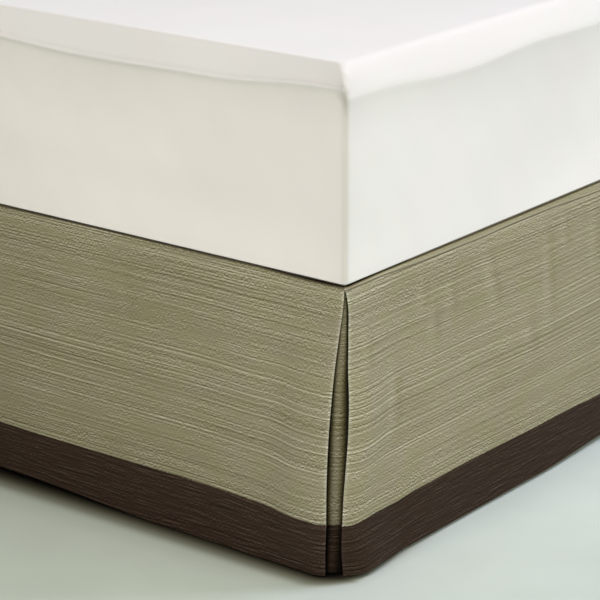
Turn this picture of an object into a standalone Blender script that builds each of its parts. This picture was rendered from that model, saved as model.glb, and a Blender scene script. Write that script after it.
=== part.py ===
"""A tailored bed skirt on a queen-size bed, at real size, in metres.

+Z is up, the floor is z = 0, X runs across the bed, and the head of the bed is at +Y. The skirt
has three straight drops, on the foot and the two sides, each with a sewn-on border band at its
hem. At the two foot corners the drops are split, and an insert hangs behind each split. A deck
of plain cloth lies between the foundation and the mattress, and carries them all.
"""

import math
from dataclasses import dataclass

import bmesh
import bpy
import numpy as np

# Driving sizes of the bed.
BED_WIDTH = 1.524
BED_LENGTH = 2.032
SKIRT_TOP = 0.381
MATTRESS_HEIGHT = 0.261
MATTRESS_CORNER = 0.009
# The mattress's side near its bottom, by height above it, and near its top, by depth below it:
# drawn_in is how far it lies inside the bed's outline. The ridge stands just proud of it.
MATTRESS_BOTTOM_EDGE = (
    # height, drawn_in
    (0.0000, 0.0022),
    (0.0012, 0.0005),
    (0.0030, 0.0000),
)
MATTRESS_TOP_EDGE = (
    # depth, drawn_in
    (0.0440, 0.0000),
    (0.0390, -0.0012),
    (0.0340, 0.0008),
    (0.0160, 0.0052),
    (0.0050, 0.0106),
    (0.0000, 0.0210),
)
FOUNDATION_INSET = 0.0095
FOUNDATION_BOTTOM = 0.180
FOUNDATION_CORNER = 0.010
FOUNDATION_EDGE = 0.003
LEG_RADIUS = 0.030
LEG_FOOT_RADIUS = 0.022
LEG_COLUMNS = (-0.56, 0.56)
LEG_ROWS = (0.16, 1.016, 1.872)
LEG_SIDES = 20
CORNER_STEPS = 4

# Driving sizes of the skirt.
BORDER_TOP = 0.0768
HEM = 0.006
DROP_CLOTH = 0.0018
BORDER_CLOTH = 0.0024
INSERT_CLOTH = 0.0014
INSERT_BORDER_CLOTH = 0.0020
DECK_CLOTH = 0.0014
DECK_INSET = 0.0030
DECK_CORNER = 0.003
INSERT_REACH = 0.135
INSERT_BEND = 0.030
INSERT_BORDER_TOP = 0.0725
GAP = 0.0003

# The outer face of a drop, by height. all_along is how far it stands out from the mattress's side
# everywhere, wave is the share of a slow wave that it takes there.
DROP_FACE = (
    # height, all_along, wave
    (0.3787, -0.0024, 0.00),
    (0.3776, -0.0004, 0.00),
    (0.3755, 0.0003, 0.00),
    (0.3730, 0.0001, 0.00),
    (0.3550, 0.0007, 0.25),
    (0.3150, 0.0018, 0.70),
    (0.2750, 0.0028, 0.95),
    (0.2350, 0.0039, 1.00),
    (0.1950, 0.0050, 0.90),
    (0.1500, 0.0062, 0.80),
    (0.1100, 0.0073, 0.75),
    (0.0768, 0.0081, 0.70),
    (0.0420, 0.0090, 0.60),
    (0.0060, 0.0099, 0.50),
)

# A drop's free end at a split corner, by height. swing is what it stands out more there, width is
# how far along the drop that reaches, set_back is where the free edge lies, measured from the
# corner along the drop, and curl is how far the edge turns in again.
FOOT_END = (
    # height, swing, width, set_back, curl
    (0.3787, 0.0000, 0.110, 0.0046, 0.0000),
    (0.3776, 0.0000, 0.110, 0.0026, 0.0000),
    (0.3730, 0.0000, 0.110, 0.0022, 0.0000),
    (0.3550, 0.0002, 0.110, 0.0040, 0.0000),
    (0.3150, 0.0015, 0.110, 0.0078, 0.0000),
    (0.2750, 0.0050, 0.110, 0.0104, 0.0000),
    (0.2350, 0.0098, 0.112, 0.0105, 0.0000),
    (0.1950, 0.0128, 0.118, 0.0090, 0.0000),
    (0.1500, 0.0165, 0.130, 0.0066, 0.0000),
    (0.1100, 0.0168, 0.140, 0.0060, 0.0005),
    (0.0768, 0.0138, 0.142, 0.0090, 0.0010),
    (0.0420, 0.0090, 0.142, 0.0148, 0.0030),
    (0.0060, 0.0022, 0.142, 0.0208, 0.0056),
)
SIDE_END = (
    # height, swing, width, set_back, curl
    (0.3787, 0.0000, 0.100, 0.0024, 0.0000),
    (0.3776, 0.0000, 0.100, 0.0004, 0.0000),
    (0.3730, 0.0000, 0.100, 0.0000, 0.0000),
    (0.3550, 0.0002, 0.100, 0.0020, 0.0000),
    (0.3150, 0.0012, 0.104, 0.0040, 0.0002),
    (0.2750, 0.0042, 0.106, 0.0014, 0.0012),
    (0.2350, 0.0068, 0.104, -0.0012, 0.0030),
    (0.1950, 0.0080, 0.098, -0.0036, 0.0052),
    (0.1500, 0.0078, 0.090, -0.0068, 0.0070),
    (0.1100, 0.0054, 0.086, -0.0090, 0.0066),
    (0.0768, 0.0040, 0.094, -0.0095, 0.0066),
    (0.0420, 0.0056, 0.112, -0.0050, 0.0130),
    (0.0060, 0.0070, 0.124, 0.0040, 0.0200),
)
FLAT_SHARE = 0.3  # of the width, next to the edge, where the swing stays full
CURL_WIDTH = 0.034
SHIFT_WIDTH = 0.120

# The insert's outer face, by height: where it hangs behind the foot drop and behind the side drop,
# measured outwards from the mattress's sides, and the radius of its turn at the corner.
INSERT_FACE = (
    # height, foot_out, side_out, radius
    (0.3765, -0.0050, -0.0050, 0.004),
    (0.3150, -0.0042, -0.0052, 0.008),
    (0.2350, -0.0018, -0.0056, 0.012),
    (0.1500, 0.0012, -0.0060, 0.016),
    (0.0725, 0.0034, -0.0085, 0.018),
    (0.0060, -0.0010, -0.0100, 0.018),
)

# Slow waves in each drop: where their middle lies along it, half their length and their height.
WAVES = (
    # drop, middle, half_length, height
    ("foot", 0.070, 0.120, 0.0020),
    ("foot", 0.410, 0.170, 0.0028),
    ("foot", 0.760, 0.190, -0.0022),
    ("foot", 1.060, 0.150, 0.0022),
    ("foot", 1.290, 0.085, -0.0024),
    ("foot", 1.386, 0.045, 0.0022),
    ("right_side", 0.115, 0.060, -0.0020),
    ("right_side", 0.450, 0.210, 0.0066),
    ("right_side", 0.830, 0.200, -0.0015),
    ("right_side", 1.210, 0.230, 0.0050),
    ("right_side", 1.640, 0.220, -0.0018),
    ("right_side", 1.930, 0.120, 0.0025),
    ("left_side", 0.150, 0.080, -0.0018),
    ("left_side", 0.520, 0.230, 0.0052),
    ("left_side", 0.930, 0.190, -0.0016),
    ("left_side", 1.330, 0.240, 0.0060),
    ("left_side", 1.800, 0.200, 0.0018),
)

# Columns of a drop: close together at a split corner, and wide apart elsewhere.
END_COLUMNS = (0.0, 0.008, 0.018, 0.030, 0.044, 0.060, 0.078, 0.098, 0.122, 0.150)
COLUMN = 0.055
# Columns of an insert on each flat side of its turn, by their distance from the corner.
INSERT_COLUMNS = (0.050, 0.090, INSERT_REACH)
BEND_STEPS = 4
SHARP_ANGLE = 40.0

COLOURS = {
    "striated_cloth": ((0.29, 0.27, 0.17), 0.85),
    "border_cloth": ((0.040, 0.028, 0.020), 0.85),
    "deck_cloth": ((0.60, 0.57, 0.48), 0.90),
    "white_bedding": ((0.82, 0.81, 0.77), 0.80),
    "foundation_cover": ((0.70, 0.68, 0.62), 0.90),
    "dark_wood": ((0.060, 0.035, 0.020), 0.50),
}


@dataclass(frozen=True)
class Drop:
    """One straight drop: where it starts, which way it runs and faces, and its two ends."""

    name: str
    start: tuple
    along: tuple
    outward: tuple
    length: float
    start_end: tuple
    start_share: float
    far_end: tuple
    far_share: float


def column_of(table, index, height):
    """Reads one column of a table by height, which is its first column and falls row by row."""
    heights = [row[0] for row in reversed(table)]
    values = [row[index] for row in reversed(table)]
    return float(np.interp(height, heights, values))


def ease(x):
    """Rises smoothly from 0 at x = 0 to 1 at x = 1."""
    x = min(max(x, 0.0), 1.0)
    return x * x * (3 - 2 * x)


def end_shape(table, share, distance, height):
    """What a free end adds at a distance from it: (outward, along the drop)."""
    if not table:
        return 0.0, 0.0
    swing, width, set_back, curl = (column_of(table, i, height) for i in (1, 2, 3, 4))
    flat_part = FLAT_SHARE * width
    out = share * swing * (1 - ease((distance - flat_part) / (width - flat_part)))
    out -= share * curl * (1 - min(distance / CURL_WIDTH, 1.0)) ** 2
    shift = set_back * (1 - ease(distance / SHIFT_WIDTH))
    return out, shift


def wave(name, place, height):
    """The slow waves of a drop at one place."""
    total = 0.0
    for drop, middle, half_length, size in WAVES:
        if drop == name and abs(place - middle) < half_length:
            total += size * (1 + math.cos(math.pi * (place - middle) / half_length)) / 2
    return total * column_of(DROP_FACE, 2, height)


def drop_point(drop, place, height):
    """A point of the drop's outer face."""
    near, near_shift = end_shape(drop.start_end, drop.start_share, place, height)
    far, far_shift = end_shape(drop.far_end, drop.far_share, drop.length - place, height)
    out = column_of(DROP_FACE, 1, height) + near + far + wave(drop.name, place, height)
    run = place + near_shift - far_shift
    x = drop.start[0] + run * drop.along[0] + out * drop.outward[0]
    y = drop.start[1] + run * drop.along[1] + out * drop.outward[1]
    return x, y, height


def columns(drop):
    """The places of a drop's columns, from its start to its far end."""
    near = list(END_COLUMNS) if drop.start_end else [0.0]
    far = [drop.length - d for d in reversed(END_COLUMNS)] if drop.far_end else [drop.length]
    steps = max(1, round((far[0] - near[-1]) / COLUMN))
    middle = [near[-1] + (far[0] - near[-1]) * i / steps for i in range(1, steps)]
    return near + middle + far


def insert_point(side, run, height):
    """A point of an insert's outer face: run is below 0 behind the foot drop, 0 at the corner."""
    foot_out, side_out, radius = (column_of(INSERT_FACE, i, height) for i in (1, 2, 3))
    if abs(run) <= INSERT_BEND:
        angle = (run / INSERT_BEND - 1) * math.pi / 4
        x = side_out - radius + radius * math.cos(angle)
        y = radius - foot_out + radius * math.sin(angle)
    elif run < 0:
        x, y = run, -foot_out
    else:
        x, y = side_out, run
    return side * (BED_WIDTH / 2 + x), y, height


def insert_columns():
    """The runs of an insert's columns, closer together round the corner."""
    bend = [INSERT_BEND * i / BEND_STEPS for i in range(-BEND_STEPS, BEND_STEPS + 1)]
    return [-d for d in reversed(INSERT_COLUMNS)] + bend + list(INSERT_COLUMNS)


def new_object(name, bm, slot):
    """An object from a bmesh, smooth where it is soft, with its material."""
    mesh = bpy.data.meshes.new(name)
    bm.to_mesh(mesh)
    bm.free()
    obj = bpy.data.objects.new(name, mesh)
    bpy.context.collection.objects.link(obj)
    mesh.shade_smooth()
    mesh.set_sharp_from_angle(angle=math.radians(SHARP_ANGLE))
    mesh.materials.append(material(slot))
    return obj


def material(slot):
    """The plain material of a slot, made once."""
    found = bpy.data.materials.get(slot)
    if found:
        return found
    colour, roughness = COLOURS[slot]
    made = bpy.data.materials.new(slot)
    made.use_nodes = True
    shader = made.node_tree.nodes["Principled BSDF"]
    shader.inputs["Base Color"].default_value = (*colour, 1)
    shader.inputs["Roughness"].default_value = roughness
    return made


def inner_row(row, thickness, side):
    """The inner face's points behind a row of the outer face, moved level and square to it."""
    inner = []
    for i, point in enumerate(row):
        before = row[max(i - 1, 0)]
        after = row[min(i + 1, len(row) - 1)]
        dx, dy = after[0] - before[0], after[1] - before[1]
        scale = side * thickness / math.hypot(dx, dy)
        inner.append((point[0] - dy * scale, point[1] + dx * scale, point[2]))
    return inner


def cloth(name, rows, thickness, slot, turned=False):
    """A closed sheet: its outer face runs through rows of points, and its inner face lies behind.

    The rows run from the top down. Seen from outside, their points run to the right, or to the
    left where the sheet is turned.
    """
    side = -1 if turned else 1
    bm = bmesh.new()
    outer = [[bm.verts.new(point) for point in row] for row in rows]
    inner = [[bm.verts.new(p) for p in inner_row(row, thickness, side)] for row in rows]
    last = len(rows[0]) - 1
    quads = []
    for upper, lower, upper_in, lower_in in zip(outer, outer[1:], inner, inner[1:]):
        for i in range(last):
            quads.append((lower[i], lower[i + 1], upper[i + 1], upper[i]))
            quads.append((upper_in[i], upper_in[i + 1], lower_in[i + 1], lower_in[i]))
        quads.append((upper_in[0], lower_in[0], lower[0], upper[0]))
        quads.append((upper[last], lower[last], lower_in[last], upper_in[last]))
    for i in range(last):
        quads.append((outer[0][i], outer[0][i + 1], inner[0][i + 1], inner[0][i]))
        quads.append((inner[-1][i], inner[-1][i + 1], outer[-1][i + 1], outer[-1][i]))
    for quad in quads:
        bm.faces.new(quad[::-1] if turned else quad)
    return new_object(name, bm, slot)


def ring(bm, half_x, half_y, radius, height):
    """A rounded rectangle of vertices, counter-clockwise from above."""
    verts = []
    for quarter, (sx, sy) in enumerate(((1, 1), (-1, 1), (-1, -1), (1, -1))):
        for i in range(CORNER_STEPS + 1):
            angle = math.pi / 2 * (quarter + i / CORNER_STEPS)
            x = sx * (half_x - radius) + radius * math.cos(angle)
            y = sy * (half_y - radius) + radius * math.sin(angle)
            verts.append(bm.verts.new((x, y + BED_LENGTH / 2, height)))
    return verts


def loft(name, inset, corner, profile, slot):
    """A closed body whose rounded-rectangle sections follow a profile of (height, drawn in)."""
    bm = bmesh.new()
    rings = []
    for height, drawn_in in profile:
        half_x = BED_WIDTH / 2 - inset - drawn_in
        half_y = BED_LENGTH / 2 - inset - drawn_in
        rings.append(ring(bm, half_x, half_y, corner, height))
    for lower, upper in zip(rings, rings[1:]):
        for i in range(len(lower)):
            j = (i + 1) % len(lower)
            bm.faces.new((lower[i], lower[j], upper[j], upper[i]))
    bm.faces.new(rings[0][::-1])
    bm.faces.new(rings[-1])
    return new_object(name, bm, slot)


def heights_between(table, top, bottom):
    """The heights of a table's rows between two heights, with both ends."""
    inner = [row[0] for row in table if bottom < row[0] < top]
    return [top, *inner, bottom]


def build_drop(drop, turned):
    """A drop's panel, and the border band that is sewn on below it."""
    places = columns(drop)
    parts = (
        (f"{drop.name}_panel", DROP_FACE[0][0], BORDER_TOP + GAP, DROP_CLOTH, "striated_cloth"),
        (f"{drop.name}_border", BORDER_TOP, HEM, BORDER_CLOTH, "border_cloth"),
    )
    for name, top, bottom, thickness, slot in parts:
        heights = heights_between(DROP_FACE, top, bottom)
        rows = [[drop_point(drop, place, z) for place in places] for z in heights]
        cloth(name, rows, thickness, slot, turned)


def build_insert(name, side):
    """The insert behind a split corner, and its own border band."""
    seam = INSERT_BORDER_TOP
    parts = (
        (f"{name}_insert", INSERT_FACE[0][0], seam + GAP, INSERT_CLOTH, "striated_cloth"),
        (f"{name}_insert_border", seam, HEM, INSERT_BORDER_CLOTH, "border_cloth"),
    )
    for part, top, bottom, thickness, slot in parts:
        heights = heights_between(INSERT_FACE, top, bottom)
        rows = [[insert_point(side, run, z) for run in insert_columns()] for z in heights]
        cloth(part, rows, thickness, slot, turned=side < 0)


def build_skirt():
    """The three drops, the two inserts and the deck."""
    half = BED_WIDTH / 2
    foot = Drop(
        "foot", (-half, 0), (1, 0), (0, -1), BED_WIDTH, FOOT_END, 0.85, FOOT_END, 1.0
    )
    right = Drop(
        "right_side", (half, 0), (0, 1), (1, 0), BED_LENGTH, SIDE_END, 1.0, (), 0.0
    )
    left = Drop(
        "left_side", (-half, 0), (0, 1), (-1, 0), BED_LENGTH, SIDE_END, 0.9, (), 0.0
    )
    build_drop(foot, turned=False)
    build_drop(right, turned=False)
    build_drop(left, turned=True)
    build_insert("right_corner", 1)
    build_insert("left_corner", -1)
    deck_top = SKIRT_TOP - 2 * GAP
    profile = ((deck_top - DECK_CLOTH, 0.0), (deck_top, 0.0))
    loft("skirt_deck", DECK_INSET, DECK_CORNER, profile, "deck_cloth")


def build_bed():
    """The mattress, the foundation and its legs, plain."""
    top = SKIRT_TOP + MATTRESS_HEIGHT
    mattress = [(SKIRT_TOP + height, drawn_in) for height, drawn_in in MATTRESS_BOTTOM_EDGE]
    mattress += [(top - depth, drawn_in) for depth, drawn_in in MATTRESS_TOP_EDGE]
    loft("bed_mattress", 0.0, MATTRESS_CORNER, mattress, "white_bedding")
    foundation_top = SKIRT_TOP - 3 * GAP - DECK_CLOTH
    foundation = (
        (FOUNDATION_BOTTOM, FOUNDATION_EDGE),
        (FOUNDATION_BOTTOM + FOUNDATION_EDGE, 0.0),
        (foundation_top - FOUNDATION_EDGE, 0.0),
        (foundation_top, FOUNDATION_EDGE),
    )
    loft("bed_foundation", FOUNDATION_INSET, FOUNDATION_CORNER, foundation, "foundation_cover")
    number = 0
    for y in LEG_ROWS:
        for x in LEG_COLUMNS:
            number += 1
            build_leg(f"bed_leg_{number}", x, y)


def build_leg(name, x, y):
    """A turned leg, narrower at the floor, standing on its flat foot."""
    height = FOUNDATION_BOTTOM - GAP
    bm = bmesh.new()
    bmesh.ops.create_cone(
        bm,
        cap_ends=True,
        segments=LEG_SIDES,
        radius1=LEG_FOOT_RADIUS,
        radius2=LEG_RADIUS,
        depth=height,
    )
    bmesh.ops.translate(bm, verts=bm.verts, vec=(0, 0, height / 2))
    leg = new_object(name, bm, "dark_wood")
    leg.location = (x, y, 0)


def centre_on_origin():
    """Hangs every piece on one empty, placed so that the whole box is centred over the origin."""
    pieces = list(bpy.data.objects)
    bpy.context.view_layer.update()
    corners = [
        obj.matrix_world @ vertex.co for obj in pieces for vertex in obj.data.vertices
    ]
    middle = [(min(p[i] for p in corners) + max(p[i] for p in corners)) / 2 for i in (0, 1)]
    origin = bpy.data.objects.new("bed_origin", None)
    bpy.context.collection.objects.link(origin)
    for obj in pieces:
        obj.parent = origin
    origin.location = (-middle[0], -middle[1], 0)


def main():
    """Clears the scene and builds the bed in its skirt."""
    for obj in list(bpy.data.objects):
        bpy.data.objects.remove(obj, do_unlink=True)
    build_skirt()
    build_bed()
    centre_on_origin()


main()
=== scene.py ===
"""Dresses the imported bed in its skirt: woven cloth, sewing, bedding, wood, a floor and light.

Sizes are in metres, and the longer tables of shapes in millimetres. The axes are the frame's own:
+Y runs towards the head of the bed, +Z is up and the floor is z = 0. The cloth pieces take the
same named shapes as the solids that they stand for, read along smooth curves, so that each piece
lies where its solid is.
"""

from __future__ import annotations

import logging
import math
from dataclasses import dataclass
from enum import Enum

import bpy
import numpy as np
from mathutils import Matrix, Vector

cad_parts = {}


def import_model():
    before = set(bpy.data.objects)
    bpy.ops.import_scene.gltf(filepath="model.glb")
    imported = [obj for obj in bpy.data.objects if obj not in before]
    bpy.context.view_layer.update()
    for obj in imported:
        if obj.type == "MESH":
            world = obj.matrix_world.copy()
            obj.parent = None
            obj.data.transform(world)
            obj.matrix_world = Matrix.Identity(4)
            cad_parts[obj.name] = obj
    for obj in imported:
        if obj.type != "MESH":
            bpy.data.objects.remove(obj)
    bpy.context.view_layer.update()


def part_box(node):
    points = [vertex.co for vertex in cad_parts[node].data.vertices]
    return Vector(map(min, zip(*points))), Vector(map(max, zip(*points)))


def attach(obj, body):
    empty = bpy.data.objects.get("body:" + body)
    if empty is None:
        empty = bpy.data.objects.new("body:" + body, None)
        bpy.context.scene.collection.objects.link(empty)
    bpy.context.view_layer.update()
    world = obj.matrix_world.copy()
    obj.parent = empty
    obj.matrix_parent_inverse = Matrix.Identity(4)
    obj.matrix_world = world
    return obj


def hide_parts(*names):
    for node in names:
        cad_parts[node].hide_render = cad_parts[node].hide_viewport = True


LOG = logging.getLogger("bed_skirt")
ROOT = "root"
CLOTH_MAP = "cloth"
VECTOR = "NodeSocketVector"
FLOAT = "NodeSocketFloat"

# Short names for what the functions take and give.
Array = np.ndarray
Numbers = np.ndarray | float  # one number or many
Material = bpy.types.Material
Object = bpy.types.Object
Tree = bpy.types.NodeTree
Node = bpy.types.Node
Socket = bpy.types.NodeSocket
Sockets = bpy.types.bpy_prop_collection
Value = bpy.types.NodeSocket | float

# Values at the points of a piece that its finish reads.
# Painted shade on a piece, and a painted highlight where it is below 0: on the drops' folds, free
# edges and top edges, behind the splits, and on the sheet along its seams and below its welt.
PAINTED_SHADE = "painted_shade"
# Painted light and shade of the sheet, with its random mottle: what its colour is multiplied by.
SHEET_SHADE_AND_MOTTLE = "sheet_shade_and_mottle"
SHEET_WARMTH = "sheet_warmth"  # 1 where the sheet is warmer in tone: on the end walls, below the welt
HEADING_PLACE = "heading_place"  # 1 on the heading seam, and more above it

# Heights and thicknesses of the skirt.
SKIRT_TOP = 0.381
BORDER_TOP = 0.0768
INSERT_BORDER_TOP = 0.0708
HEM = 0.006
GAP = 0.0003
DROP_CLOTH = 0.0018
BORDER_CLOTH = 0.0024
INSERT_CLOTH = 0.0014
INSERT_BORDER_CLOTH = 0.0020
DECK_CLOTH = 0.0014
PER_METRE = 1000  # millimetres
DECIMALS = 7


def millimetres(*rows: tuple) -> tuple:
    """Rows of measures in millimetres, turned into metres."""
    return tuple(tuple(round(value / PER_METRE, DECIMALS) for value in row) for row in rows)


# The outer face of a drop, by height: how far it stands out from the mattress's side everywhere,
# and the share of a slow wave that it takes there.
DROP_FACE = (
    # height, all_along, wave
    (0.3787, -0.0024, 0.0), (0.3776, -0.0004, 0.0), (0.3755, 0.0003, 0.0),
    (0.373, 0.0001, 0.0), (0.355, 0.0007, 0.25), (0.315, 0.0018, 0.7),
    (0.275, 0.0028, 0.95), (0.235, 0.0039, 1.0), (0.195, 0.005, 0.9),
    (0.15, 0.0062, 0.8), (0.11, 0.0073, 0.75), (0.0768, 0.0081, 0.7),
    (0.042, 0.009, 0.6), (0.006, 0.0099, 0.5),
)

# A drop's free end at a split corner, by height: what it stands out more there, how far along
# the drop that reaches, where its free edge lies and how far that edge turns in again.
FOOT_END = millimetres(
    # height, swing, width, set_back, curl
    (378.7, 0, 110, 3, 0), (377.6, 0, 110, 2.2, 0), (373, 0, 110, 2.6, 0),
    (355, 0.2, 110, 3.6, 0.4), (315, 1.5, 110, 8.4, 1.2), (275, 5, 110, 11.7, 2.2),
    (235, 9.8, 112, 12.4, 2.8), (195, 12.8, 118, 13.2, 3), (150, 16.5, 130, 12.2, 3.2),
    (110, 16.8, 140, 12.3, 3.4), (76.8, 13.8, 142, 14.3, 3.8), (42, 9, 142, 18.8, 4.4),
    (6, 2.2, 142, 23.8, 5.2),
)
SIDE_END = millimetres(
    # height, swing, width, set_back, curl
    (378.7, 0, 100, 2.6, 0), (377.6, 0, 100, 1, 0), (373, 0, 100, 3, 0),
    (355, 0.2, 100, 7.6, 0.8), (315, 1.2, 104, 8.1, 2.2), (275, 4.2, 106, 5.2, 4.2),
    (235, 6.8, 104, 4.8, 6.2), (195, 8, 98, 3.1, 8), (150, 7.8, 90, -0.9, 9.4),
    (110, 5.4, 86, -3.4, 9.6), (76.8, 4, 94, -4.2, 9.8), (42, 5.6, 112, -3.2, 13.6),
    (6, 7, 124, 4.2, 19),
)
FLAT_SHARE = 0.3  # of the width, next to the edge, where the swing stays full
CURL_WIDTH = {"foot": 0.018, "right_side": 0.030, "left_side": 0.030}
SHIFT_WIDTH = 0.120

# The insert's outer face, by height: where it hangs behind the foot drop and behind the side
# drop, measured outwards from the mattress's sides, and the radius of its turn.
INSERT_FACE = millimetres(
    # height, foot_out, side_out, radius
    (376.5, -5, -5, 4), (315, -4.2, -5.2, 8), (235, -1.8, -5.6, 12),
    (150, 1.2, -6, 16), (72.5, 3.4, -8.5, 18), (6, -1, -10, 18),
)
INSERT_REACH = 0.135

# Slow waves in each drop: where their middle lies along it, half their length and their height.
WAVES = {
    # middle, half_length, height
    "foot": millimetres(
        (70, 120, 2), (410, 170, 2.8), (760, 190, -2.2),
        (1060, 150, 2.2), (1290, 85, -2.4), (1386, 45, 2.2),
    ),
    "right_side": millimetres(
        (115, 60, -2), (450, 210, 6.6), (830, 200, -1.5),
        (1210, 230, 5), (1640, 220, -1.8), (1930, 120, 2.5),
    ),
    "left_side": millimetres(
        (150, 80, -1.8), (520, 230, 5.2), (930, 190, -1.6), (1330, 240, 6), (1800, 200, 1.8),
    ),
}

# Faint upright folds in the upper part of the drops, left by packing.
SOFT_FOLDS = {
    # middle, half_width, top, bottom, lean in a metre, height
    "foot": millimetres(
        (300, 20, 350, 220, 100, 0.8), (930, 22, 360, 200, -50, -0.6), (1180, 18, 340, 240, 80, 0.5),
    ),
    "right_side": millimetres(
        (32, 16, 330, 255, 50, 0.9), (100, 22, 265, 150, -30, 1.4), (157, 16, 370, 290, 50, 1.3),
        (180, 16, 325, 240, 50, 1.3), (219, 18, 355, 262, 30, 1.2), (296, 20, 371, 250, 240, 1.6),
        (386, 22, 270, 165, 150, 1), (438, 20, 372, 185, 20, 1.4), (482, 16, 372, 300, 50, 1.2),
        (560, 24, 366, 240, 40, 1.2), (930, 26, 360, 210, 50, 1), (1400, 24, 364, 230, -50, -0.9),
    ),
    "left_side": millimetres(
        (130, 18, 366, 280, 50, 1), (310, 18, 366, 250, 100, 1.2), (384, 18, 366, 262, 50, -1.1),
        (700, 24, 360, 220, 80, 1), (1180, 26, 364, 230, -40, -1), (1650, 22, 360, 240, 50, 0.9),
    ),
}
FOLD_REACH = 0.6  # how far past its ends a soft fold fades out, as a share of its length
# The fold flanks' shade and the top edge's shade are painted into the cloth's colour.
FULL_FOLD = 0.0016  # the height of a fold whose flank has one step of shade
TOP_SHADE = 5.0  # the shade of a drop's turned-in top edge, under the mattress
TOP_SHADE_FROM = 0.3769
TOP_SHADE_RISE = 0.0014
# Painted light and shade that change slowly along each cloth: away from its free ends, at them, and
# how far it runs.
SHADE_ALONG = {
    # drop and cloth: middle, at_an_end, reach
    ("foot", "panel"): (0.65, -0.98, 0.30),
    ("foot", "band"): (0.0, -2.2, 0.45),
    ("right_side", "panel"): (0.10, -0.50, 0.10),
    ("right_side", "band"): (0.0, 0.0, 0.10),
    ("left_side", "panel"): (0.10, -0.50, 0.10),
    ("left_side", "band"): (0.0, 0.0, 0.10),
}
# A painted highlight along each free edge:
EDGE_LIGHT = -3.0  # the shade of a free edge, where the folded cloth is thicker and catches light
EDGE_WIDTH = 0.0016

# The part of an insert that shows in the split, by height, measured along the cloth from the
# corner. Past it the deep shade behind the drops is painted onto the cloth, and starts softly.
SPLIT = millimetres(
    # height, foot_side, side_side, foot_blur, side_blur
    (376.5, -0.1, 3.1, 2.5, 2.5), (360, -0.4, 4, 2.5, 2.5), (345, -1.9, 5.9, 2.8, 3),
    (330, -3.6, 6.2, 3.2, 3.8), (310, -5.6, 6.7, 3.8, 5), (280, -9, 8.1, 5, 8),
    (255, -11.2, 9, 6.2, 12), (230, -13, 11.3, 8, 16), (190, -14.3, 12, 9, 17),
    (150, -14.3, 11, 10, 14), (110, -13.4, 9.7, 9.5, 11), (72.5, -11.5, 10.1, 8.5, 9),
    (40, -12.7, 8, 8, 12), (6, -15, 5.9, 8, 16),
)
# Painted shade in the split: deep behind the drops, and a little in its upper part.
SPLIT_SHADE = 7.3
DIM_FROM = 0.15  # the upper part of the split is a little dimmer, from here
DIM_RISE = 0.10

# The heading seam, where the drop is sewn to the deck, runs down from each split corner.
HEADING = {
    # place, height
    "foot": millimetres(
        (0, 376.4), (50, 375.2), (100, 374.6), (210, 374.5),
        (350, 375.7), (900, 376.8), (1080, 378.2), (1524, 378.2),
    ),
    "right_side": millimetres(
        (0, 376.4), (50, 374.3), (110, 372.3), (160, 370.9), (285, 369), (350, 370.5),
        (425, 370), (474, 369.5), (560, 365.9), (700, 366.2), (2032, 369),
    ),
    "left_side": millimetres((0, 378), (70, 377.2), (240, 372.5), (420, 370.4), (2032, 370)),
}

# Where a drop's top edge hangs a little lower.
TOP_SAG = {
    # middle, half_length, rise
    "foot": millimetres((1480, 110, -2.6), (762, 1400, -0.6)),
    "right_side": millimetres((0, 90, -1.6), (900, 1400, -2)),
    "left_side": millimetres((0, 90, -1.6), (900, 1400, -2)),
}
TOP_REACH = 0.345  # the height below which a low top edge no longer draws the cloth down

# Where a drop's border seam and its hem lie a little lower or higher than elsewhere.
SEAM_SAG = {
    "foot": millimetres((950, 220, -0.6), (1524, 12, 1)),
    "right_side": millimetres((10, 22, -1.6), (100, 55, -3.4), (620, 160, -5.8), (1450, 300, -2)),
    "left_side": millimetres((300, 200, -1.5), (1200, 350, -2.5)),
}
HEM_SAG = {
    "foot": millimetres(
        (700, 4000, -2.4), (940, 320, 8.5), (1100, 120, 1.2),
        (1250, 230, -1.7), (1370, 120, -0.7),
    ),
    "right_side": millimetres((45, 60, 2.6), (270, 120, -1), (610, 170, 4.8), (1500, 350, -1.2)),
    "left_side": millimetres((500, 250, 2), (1300, 300, -1.2)),
}
SEAM_LOWER = 0.0007  # how much lower the border seam lies everywhere
SAG_REACH = 0.200  # the height above which a low seam no longer draws the cloth down


class Yarn(Enum):
    """How strongly a slub yarn shows against the ground of the cloth: above 0 it is lighter."""

    BOLD = 1.0
    CLEAR = 0.70
    SOFT = 0.48
    FAINT = 0.31
    TRACE = 0.18
    DIM = -0.20
    SHADE = -0.36
    DARK = -0.50


# The slub yarns of the striated cloth: the heights of each kind in millimetres above the floor.
YARN_CHART = {
    Yarn.BOLD: (213.5,),
    Yarn.CLEAR: (241, 222, 191, 170, 145),
    Yarn.SOFT: (246, 198.5, 150, 93.5),
    Yarn.FAINT: (368.5, 366, 356, 342.5, 318.5, 302.5, 254.5, 230, 206, 185, 181, 176),
    Yarn.TRACE: (
        *(362.5, 351, 331, 307.5, 283.5, 278.5, 268.5, 260, 165, 161),
        *(157, 139.5, 136, 131, 120, 115, 107.5, 98.5, 83.5),
    ),
    Yarn.DIM: (
        *(354, 345, 339.5, 336.5, 328.5, 313.5, 298.5, 293.5, 281, 275, 251),
        *(233, 204, 183, 163, 155, 123.5, 117.5, 101, 96, 91),
    ),
    Yarn.SHADE: (358.5, 348.5, 224.5, 216.5, 195, 159, 147.5, 142.5, 86),
    Yarn.DARK: (243.5, 211, 201, 188.5, 173.5, 167.5, 152.5),
}
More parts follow.
